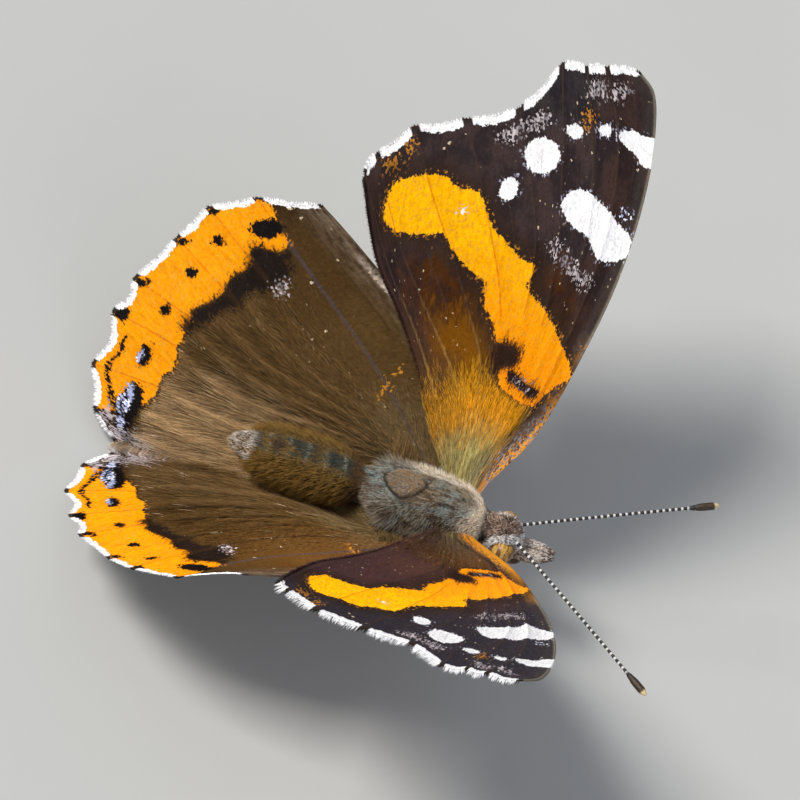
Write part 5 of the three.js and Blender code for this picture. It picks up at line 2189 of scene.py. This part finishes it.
    def _head_coat(self, skin: Surface, rng: np.random.Generator) -> Surface:
        """Rough tufts of brown and white scales, longest on the crown and round the eyes.

        Args:
            skin: The bare skin.
            rng: The run of chance numbers.

        Returns:
            The fur.
        """
        forward = skin.points[:, 0]
        from_eye = np.hypot(skin.points[:, 0] - EYE_MIDDLE[0], skin.points[:, 2] - EYE_MIDDLE[2])
        weight = smoothstep(forward, 3.8, 4.2) * smoothstep(from_eye, 0.5, 0.7)
        weight = np.maximum(weight, smoothstep(forward, 3.8, 4.2) * (abs(skin.points[:, 1]) < 0.8))
        roots = skin.scattered(weight + NEVER, self.head_tufts, rng)
        places, normals = roots.places, roots.normals
        count = len(places)
        ahead = smoothstep(places[:, 0], 5.0, 6.4)
        crown = smoothstep(places[:, 2], -0.6, 0.0)
        lie = np.array([1.0, 0.0, 0.3]) * (1.9 * ahead - 0.8)[:, None]
        clump = np.sin(places @ np.array([5.1, 6.3, 2.2]))[:, None] * np.array([0.2, 0.25, 0.0])
        ways = lie * 0.75 + clump + normals * (0.34 + 0.14 * crown)[:, None] + rng.normal(0, 0.16, (count, 3))
        lengths = (0.33 + 0.08 * crown - 0.06 * ahead) * rng.uniform(0.6, 1.25, count)
        tone = np.clip(rng.normal(0.5, 0.22, count), 0.05, 1.2)
        return grow("head_coat", roots, ways, lengths, rng.uniform(0.04, 0.075, count), tone, 0.08)


@dataclass(frozen=True)
class Palps:
    """The two scaled palps that stand out under the face like a beak."""

    path: tuple[Place, ...] = (
        (6.2, 0.42, -1.7), (7.0, 0.41, -1.85), (7.8, 0.4, -1.84), (8.7, 0.36, -1.7), (9.3, 0.27, -1.55),
    )
    wide: tuple[float, ...] = (0.27, 0.34, 0.36, 0.28, 0.07)
    high: tuple[float, ...] = (0.34, 0.47, 0.52, 0.38, 0.08)
    tuft_count: int = 3000

    def surface(self) -> Surface:
        """The left palp's core.

        Returns:
            The core.
        """
        shares = np.linspace(0, 1, 36)
        points = at_shares(smooth_run(self.path, 12), shares)
        wide, high = (np.interp(shares, np.linspace(0, 1, len(v)), v) for v in (self.wide, self.high))
        made = tube("palp_left_core", points, wide, high, 20)
        none = np.zeros(len(made.points))
        made.fields.update({"groove": none - 1, "plate": none - 1, "eye_rim": none})
        return made

    def coat(self, core: Surface, rng: np.random.Generator) -> Surface:
        """The left palp's scales, with painted light: lighter where they face up and darker along the sides
        and underneath, where they face down.

        Args:
            core: The core that it grows on.
            rng: The run of chance numbers.

        Returns:
            The scales.
        """
        roots = core.scattered(np.ones(len(core.points)), self.tuft_count, rng)
        count = len(roots.places)
        ways = roots.fields["way"] + roots.normals * 0.2 + rng.normal(0, 0.11, (count, 3))
        lengths = 0.27 * rng.uniform(0.6, 1.25, count)
        # Painted light: tufts that face up get a lighter tone and those that face down a darker one.
        tone = np.clip(rng.normal(0.56, 0.22, count) + roots.normals[:, 2] * 0.2, 0.05, 1.2)
        return grow("palp_left_coat", roots, ways, lengths, rng.uniform(0.05, 0.085, count), tone, 0.1)


@dataclass(frozen=True)
class Eyes:
    """The compound eyes."""

    middle: Place = EYE_MIDDLE
    half: Place = (0.78, 0.8, 0.82)

    def surface(self) -> Surface:
        """The left eye."""
        return ellipsoid("eye_left_dome", np.array(self.middle), self.half)


@dataclass(frozen=True)
class Antennae:
    """The two feelers, of many rings, each with a club."""

    base: Place = (6.46, 0.7, -0.41)
    reach: tuple[Place, Place] = ((12.73, 4.88, 2.85), (10.7, 9.47, 0.8))
    bow: float = 0.05
    shaft: float = 0.105
    club: float = 0.27
    club_length: float = 2.4

    def surface(self, side: Side) -> Surface:
        """The feeler of one side, on that side.

        Args:
            side: The side that it is on.

        Returns:
            The feeler.
        """
        reach = np.array(self.reach[0 if side is Side.LEFT else 1])
        length = float(np.linalg.norm(reach))
        stops = np.linspace(-0.4, length, 360)
        share = stops / length
        points = np.array(self.base) + share[:, None] * reach
        points[:, 2] += self.bow * 4 * np.clip(share * (1 - share), 0, None)
        ringed = 1 + 0.1 * np.cos(2 * np.pi * (stops + 0.4) / FEELER_RING)
        swell = smoothstep(stops, length - self.club_length, length - self.club_length * 0.45)
        end = np.sqrt(np.clip((length - stops) / 0.45, 0, 1))
        radius = (self.shaft + (self.club - self.shaft) * swell) * (ringed * (1 - swell) + swell)
        radius = radius * np.maximum(end, 0.15)
        radius = np.where(stops < 0.35, radius * 1.45, radius)
        made = tube(f"antenna_{side.word}_rings", points, radius, radius, 18)
        return made if side is Side.LEFT else made.mirrored(made.name)


@dataclass(frozen=True)
class Proboscis:
    """The tongue, coiled under the head."""

    middle: Place = (6.95, 0.0, -3.22)
    mouth: Place = (6.35, 0.0, -1.85)
    outer: float = 0.6
    inner: float = 0.12
    start: float = 0.45
    turns: float = 1.77
    radius: float = 0.15

    def surface(self) -> Surface:
        """The coil, and the curve that leads to it from the mouth.

        Returns:
            The tongue.
        """
        share = np.linspace(0, 1, 140)
        turn = np.pi * self.start - share * self.turns * 2 * np.pi
        radius = self.outer + (self.inner - self.outer) * share
        round_ways = np.stack([np.cos(turn), 0 * turn, np.sin(turn)], axis=-1)
        coil = np.array(self.middle) + radius[:, None] * round_ways
        bend = coil[0] - unit(coil[1] - coil[0]) * 0.45
        way = np.linspace(0, 1, 16, endpoint=False)[:, None]
        lead = np.array(self.mouth) * (1 - way) ** 2 + 2 * bend * way * (1 - way) + coil[0] * way**2
        points = np.vstack([lead, coil])
        thin = self.radius * (1 - 0.5 * np.concatenate([0 * way[:, 0], share]))
        return tube("proboscis_coil", points, thin * 1.15, thin * 0.75, 14, (0, 1, 0.001))


@dataclass(frozen=True)
class Leg:
    """One kind of leg.

    Its joints are places on the body. A walking leg's ankle and toe are [forward, left] on the floor.
    """

    name: str
    joints: tuple[Place, ...]
    radii: tuple[float, ...]
    ankle: Pair | None = None
    toe: Pair | None = None
    foot_radius: float = 0.14
    tuft_count: int = 1500
    spine_count: int = 70

    def surface(self, stance: Stance) -> Surface:
        """The left leg's core.

        Args:
            stance: How the insect stands.

        Returns:
            The core.
        """
        points, radii, joints = self._course(stance)
        made = tube(f"{self.name}_left_core", points, radii, radii, 14)
        total = made.fields["run"].max()
        gaps = [abs(made.fields["run"] - joint) for joint in joints]
        made.fields["joint"] = 1 - np.min(gaps, axis=0) / 0.16
        made.fields["run"] = made.fields["run"] / total
        return made

    def _course(self, stance: Stance) -> tuple[Array, Array, list[float]]:
        """The leg's middle line, its radius there, and how far along its joints lie.

        Args:
            stance: How the insect stands.

        Returns:
            The middle line, the radii and the joints.
        """
        if self.ankle is None or self.toe is None:
            shares = np.linspace(0, 1, 60)
            points = at_shares(smooth_run(self.joints, 16), shares)
            return points, np.interp(shares, np.linspace(0, 1, len(self.radii)), self.radii), [1.6, 3.0]
        inside, hip, knee = (np.array(joint) for joint in self.joints)
        ankle = stance.on_floor(*self.ankle, self.foot_radius * 1.5)
        toe = stance.on_floor(*self.toe, self.foot_radius)
        heel = stance.on_floor(*(np.array(self.ankle) * 0.82 + np.array(self.toe) * 0.18), self.foot_radius)
        corners = [inside, hip, knee, ankle, heel, toe]
        stops = [0.0, *np.cumsum([np.linalg.norm(b - a) for a, b in zip(corners, corners[1:], strict=False)])]
        fine = np.linspace(0, stops[-1], 190)
        points = np.stack([np.interp(fine, stops, axis) for axis in np.array(corners).T], axis=-1)
        kernel = np.hanning(9) / np.hanning(9).sum()
        padded = np.pad(points, ((4, 4), (0, 0)), mode="edge")
        points = np.stack([np.convolve(axis, kernel, "valid") for axis in padded.T], axis=-1)
        thigh = stops[2] - stops[1]
        profile_at = [0, stops[1], stops[1] + thigh * 0.25, stops[1] + thigh * 0.6, stops[2] - 0.3, stops[2],
                      stops[2] + 0.4, stops[3] - 1.0, stops[3], stops[4], stops[5]]
        profile = [*self.radii, self.foot_radius * 1.2, self.foot_radius, self.foot_radius]
        radii = np.interp(fine, profile_at, profile)
        step = (stops[5] - stops[4]) / 4
        joints = [stops[1], stops[2], stops[3], *(stops[4] + step * k for k in range(1, 4))]
        foot = fine > stops[3]
        pinch = 1 - 0.16 * np.cos(2 * np.pi * (fine - stops[4]) / step)
        return points, np.where(foot, radii * pinch * 0.95, radii), joints

    def coat(self, core: Surface, rng: np.random.Generator) -> Surface:
        """The left leg's scales, shin spines and claws.

        Args:
            core: The core that it grows on.
            rng: The run of chance numbers.

        Returns:
            The scales, spines and claws in one.
        """
        reach = core.fields["run"]
        roots = core.scattered(1.2 - reach, self.tuft_count, rng)
        count = len(roots.places)
        ways = roots.fields["way"] + roots.normals * 0.25 + rng.normal(0, 0.12, (count, 3))
        lengths = (0.3 - 0.16 * roots.fields["run"]) * rng.uniform(0.6, 1.2, count)
        tone = np.clip(rng.normal(0.5, 0.22, count), 0.05, 1.1)
        parts = [grow("scales", roots, ways, lengths, rng.uniform(0.05, 0.09, count), tone, 0.08)]
        if self.toe is not None:
            parts += [self._spines(core, rng), self._claws(core)]
        return joined(f"{self.name}_left_coat", parts)

    def _spines(self, core: Surface, rng: np.random.Generator) -> Surface:
        """Stiff spines along the underside of the shin and foot.

        Args:
            core: The core that it grows on.
            rng: The run of chance numbers.

        Returns:
            The spines.
        """
        reach = core.fields["run"]
        weight = smoothstep(reach, 0.42, 0.5) * (1 - smoothstep(reach, 0.9, 0.96))
        weight = weight * (core.normals()[:, 2] < 0.1)
        roots = core.scattered(weight + NEVER, self.spine_count, rng)
        count = len(roots.places)
        ways = roots.fields["way"] + roots.normals * 0.7 * np.array([1, 1, 0.1])
        roots.fields["joint"] = np.ones(count)
        lengths, widths, tone = (np.full(count, value) for value in (0.26, 0.045, 0.2))
        return grow("spines", roots, ways, lengths, widths, tone, 0.0)

    def _claws(self, core: Surface) -> Surface:
        """The pair of small curved claws at the toe.

        Args:
            core: The core that it grows on.

        Returns:
            The claws.
        """
        end = len(core.points) - 1
        way = core.fields["way"][end]
        across = unit(np.cross(way, UPWARD))
        fields = {key: np.repeat(value[end:], 2, axis=0) for key, value in core.fields.items()}
        fields["joint"] = np.ones(2)
        places = core.points[end] + np.array([across * 0.06, -across * 0.06]) - way * 0.06
        roots = Roots(places, np.tile(UPWARD, (2, 1)), fields, np.tile(np.array([0.93, 0.5]), (2, 1)))
        ways = np.array([way + across * 0.35, way - across * 0.35]) - 0.28 * UPWARD
        return grow("claws", roots, ways, np.full(2, 0.3), np.full(2, 0.09), np.full(2, 0.3), 0.16)


LEGS = (
    Leg("foreleg",
        ((2.7, 0.6, -2.3), (3.45, 0.95, -3.3), (4.35, 1.15, -4.0), (5.1, 1.15, -3.75), (5.95, 1.0, -3.15)),
        (0.24, 0.22, 0.22, 0.19, 0.1), tuft_count=1300),
    Leg("midleg", ((0.3, 0.8, -2.4), (0.45, 1.55, -3.45), (1.1, 4.2, -3.6)),
        (0.34, 0.3, 0.34, 0.33, 0.2, 0.18, 0.2, 0.17), (2.3, 4.5), (4.1, 4.7)),
    Leg("hindleg", ((-1.5, 0.8, -2.4), (-2.0, 1.45, -3.5), (-5.0, 3.3, -3.95)),
        (0.34, 0.3, 0.34, 0.33, 0.2, 0.18, 0.2, 0.17), (-6.3, 3.55), (-8.2, 3.65)),
)


# The studio


def posed(name: str, data: bpy.types.ID, ways: tuple[Array, Array, Array], spot: Array) -> bpy.types.Object:
    """Puts a camera or a light into the scene.

    Args:
        name: Its name.
        data: The camera or light.
        ways: Its right, up and backward ways.
        spot: Where it stands, in metres.

    Returns:
        The object.
    """
    made = bpy.data.objects.new(name, data)
    columns = np.stack(ways, axis=-1)
    made.matrix_world = Matrix([[*columns[row], spot[row]] for row in range(3)] + [[0, 0, 0, 1]])
    bpy.context.scene.collection.objects.link(made)
    return made


@dataclass(frozen=True)
class Lamp:
    """One square light, with its way on the camera's axes, watts and metres."""

    name: str
    way: Place
    distance: float
    power: float
    size: float
    colour: Colour

    def hang(self, right: Array, up: Array, back: Array) -> None:
        """Hangs the light so that it looks at the insect.

        Args:
            right: The camera's right way.
            up: The camera's upward way.
            back: The way from the insect to the camera.
        """
        data = bpy.data.lights.new(self.name, "AREA")
        data.energy, data.size, data.color = self.power, self.size, self.colour
        away = unit(back * self.way[2] + up * self.way[1] + right * self.way[0])
        side = unit(np.cross(UPWARD, away))
        posed(self.name, data, (side, np.cross(away, side), away), away * self.distance)


@dataclass(frozen=True)
class Studio:
    """The camera, the floor and the light.

    The camera's ways are on the body, so it turns with the insect as the photograph was taken.
    """

    right: Place = (0.935, 0.159, 0.318)
    up: Place = (-0.316, 0.781, 0.539)
    middle_right: float = -2.027
    middle_up: float = 6.757
    frame_width: float = 54.05
    distance: float = 1500.0
    sensor: float = 36.0
    floor_half: float = 3.5
    lamps: tuple[Lamp, ...] = (
        Lamp("key", (-0.4, 0.62, 0.75), 6.0, 380.0, 1.92, (1.0, 0.965, 0.91)),
        Lamp("fill", (0.6, -0.6, 0.5), 4.0, 35.5, 3.3, (0.93, 0.96, 1.0)),
    )
    surround: tuple[float, float, float, float] = (0.86, 0.9, 1.0, 1.0)
    surround_strength: float = 0.34

    def camera_axes(self, stance: Stance) -> tuple[Array, Array, Array]:
        """The camera's right, up and backward ways in the row's frame.

        Args:
            stance: How the insect stands.

        Returns:
            The right, up and backward ways.
        """
        right = unit(stance.turned(np.array(self.right)))
        up = stance.turned(np.array(self.up))
        up = unit(up - right * (up @ right))
        return right, up, np.cross(right, up)

    def set_camera(self, stance: Stance) -> None:
        """Puts the camera where the photograph was taken from.

        Args:
            stance: How the insect stands.
        """
        right, up, back = self.camera_axes(stance)
        target = stance.placed(np.zeros(3)) + (right * self.middle_right + up * self.middle_up) * MM
        spot = target + back * self.distance * MM
        data = bpy.data.cameras.new("camera")
        data.sensor_width = self.sensor
        data.lens = self.sensor * self.distance / self.frame_width
        bpy.context.scene.camera = posed("camera", data, (right, up, back), spot)

    def set_floor(self, finish: FloorFinish) -> None:
        """Lays the pale floor.

        Args:
            finish: What the floor is made of.
        """
        half = self.floor_half
        mesh = bpy.data.meshes.new("floor")
        corners = [(-half, -half, 0), (half, -half, 0), (half, half, 0), (-half, half, 0)]
        mesh.from_pydata(corners, [], [(0, 1, 2, 3)])
        mesh.materials.append(finish.material())
        made = bpy.data.objects.new("floor", mesh)
        bpy.context.scene.collection.objects.link(made)

    def set_light(self, stance: Stance) -> None:
        """Hangs one large key light, a fill light and an even pale surround.

        Args:
            stance: How the insect stands.
        """
        for lamp in self.lamps:
            lamp.hang(*self.camera_axes(stance))
        world = bpy.data.worlds.new("surround")
        world.use_nodes = True
        background = world.node_tree.nodes["Background"]
        background.inputs["Color"].default_value = self.surround
        background.inputs["Strength"].default_value = self.surround_strength
        bpy.context.scene.world = world


# Dressing


@dataclass
class Dresser:
    """Puts pieces on the insect's body and hides the imported parts that they stand for."""

    stance: Stance

    def wear(
        self, surface: Surface, materials: list[bpy.types.Material], nodes: tuple[str, ...] = ()
    ) -> bpy.types.Object:
        """Makes a piece that rides on the body.

        Args:
            surface: Its shape.
            materials: Its materials.
            nodes: The nodes that it stands for.

        Returns:
            The piece.
        """
        made = surface.piece(self.stance, materials)
        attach(made, "root")
        if nodes:
            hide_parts(*nodes)
        LOG.info("%s: %d triangles", surface.name, len(surface.faces))
        return made

    def wear_both(
        self, surface: Surface, materials: list[bpy.types.Material], node: str = ""
    ) -> None:
        """Makes a left piece and its mirror.

        Args:
            surface: The left piece.
            materials: What it is made of.
            node: The left node that it stands for, if any.
        """
        for side in Side:
            word = surface.name.replace("left", side.word)
            shape = surface if side is Side.LEFT else surface.mirrored(word)
            nodes = (node.replace("left", side.word),) if node else ()
            self.wear(shape, materials, nodes)


def dress_wings(dresser: Dresser, rng: np.random.Generator) -> None:
    """Makes the four wings with their hair and fringes.

    Args:
        dresser: What makes the pieces.
        rng: The run of chance numbers.
    """
    for wing in (FOREWING, HINDWING):
        kind = wing.kind.value
        upper, under = wing.finish.upper(), wing.finish.under()
        surface = wing.surface()
        coat = wing.coat(surface, rng)
        fringe = wing.fringe(surface, rng)
        dresser.wear_both(surface, [upper, under], f"{kind}_left")
        dresser.wear_both(coat, [upper])
        dresser.wear(fringe, [upper])
        dresser.wear(wing.splayed(fringe).mirrored(f"{kind}_right_fringe"), [upper])


def dress_body(dresser: Dresser, rng: np.random.Generator) -> None:
    """Makes the skin and fur of the body, and the palps.

    Args:
        dresser: What makes the pieces.
        rng: The run of chance numbers.
    """
    fur = FurFinish().material()
    trunk = Trunk()
    skin = trunk.surface()
    dresser.wear(skin, [fur], ("thorax", "abdomen", "head"))
    for node, coat in trunk.coats(skin, rng).items():
        dresser.wear(coat, [fur])
    palps = Palps()
    core = palps.surface()
    coat = palps.coat(core, rng)
    dresser.wear_both(core, [fur], "palp_left")
    dresser.wear_both(coat, [fur])


def dress_head(dresser: Dresser) -> None:
    """Makes the eyes, the feelers and the tongue.

    Args:
        dresser: What makes the pieces.
    """
    dresser.wear_both(Eyes().surface(), [EyeFinish().material()], "eye_left")
    rings = AntennaFinish().material()
    for side in Side:
        dresser.wear(Antennae().surface(side), [rings], (f"antenna_{side.word}",))
    dresser.wear(Proboscis().surface(), [ProboscisFinish().material()], ("proboscis",))


def dress_legs(dresser: Dresser, rng: np.random.Generator) -> None:
    """Makes the six legs.

    Args:
        dresser: What makes the pieces.
        rng: The run of chance numbers.
    """
    scales = LegFinish().material()
    for leg in LEGS:
        core = leg.surface(dresser.stance)
        coat = leg.coat(core, rng)
        dresser.wear_both(core, [scales], f"{leg.name}_left")
        dresser.wear_both(coat, [scales])


def main() -> None:
    """Builds the dressed insect and the studio."""
    logging.basicConfig(level=logging.INFO, format="%(name)s: %(message)s")
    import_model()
    stance = Stance()
    rng = np.random.default_rng(SEED)
    studio = Studio()
    studio.set_camera(stance)
    studio.set_floor(FloorFinish())
    studio.set_light(stance)
    bpy.context.scene.view_settings.view_transform = "Standard"
    dresser = Dresser(stance)
    dress_wings(dresser, rng)
    dress_body(dresser, rng)
    dress_head(dresser)
    dress_legs(dresser, rng)


if __name__ == "__main__":
    main()
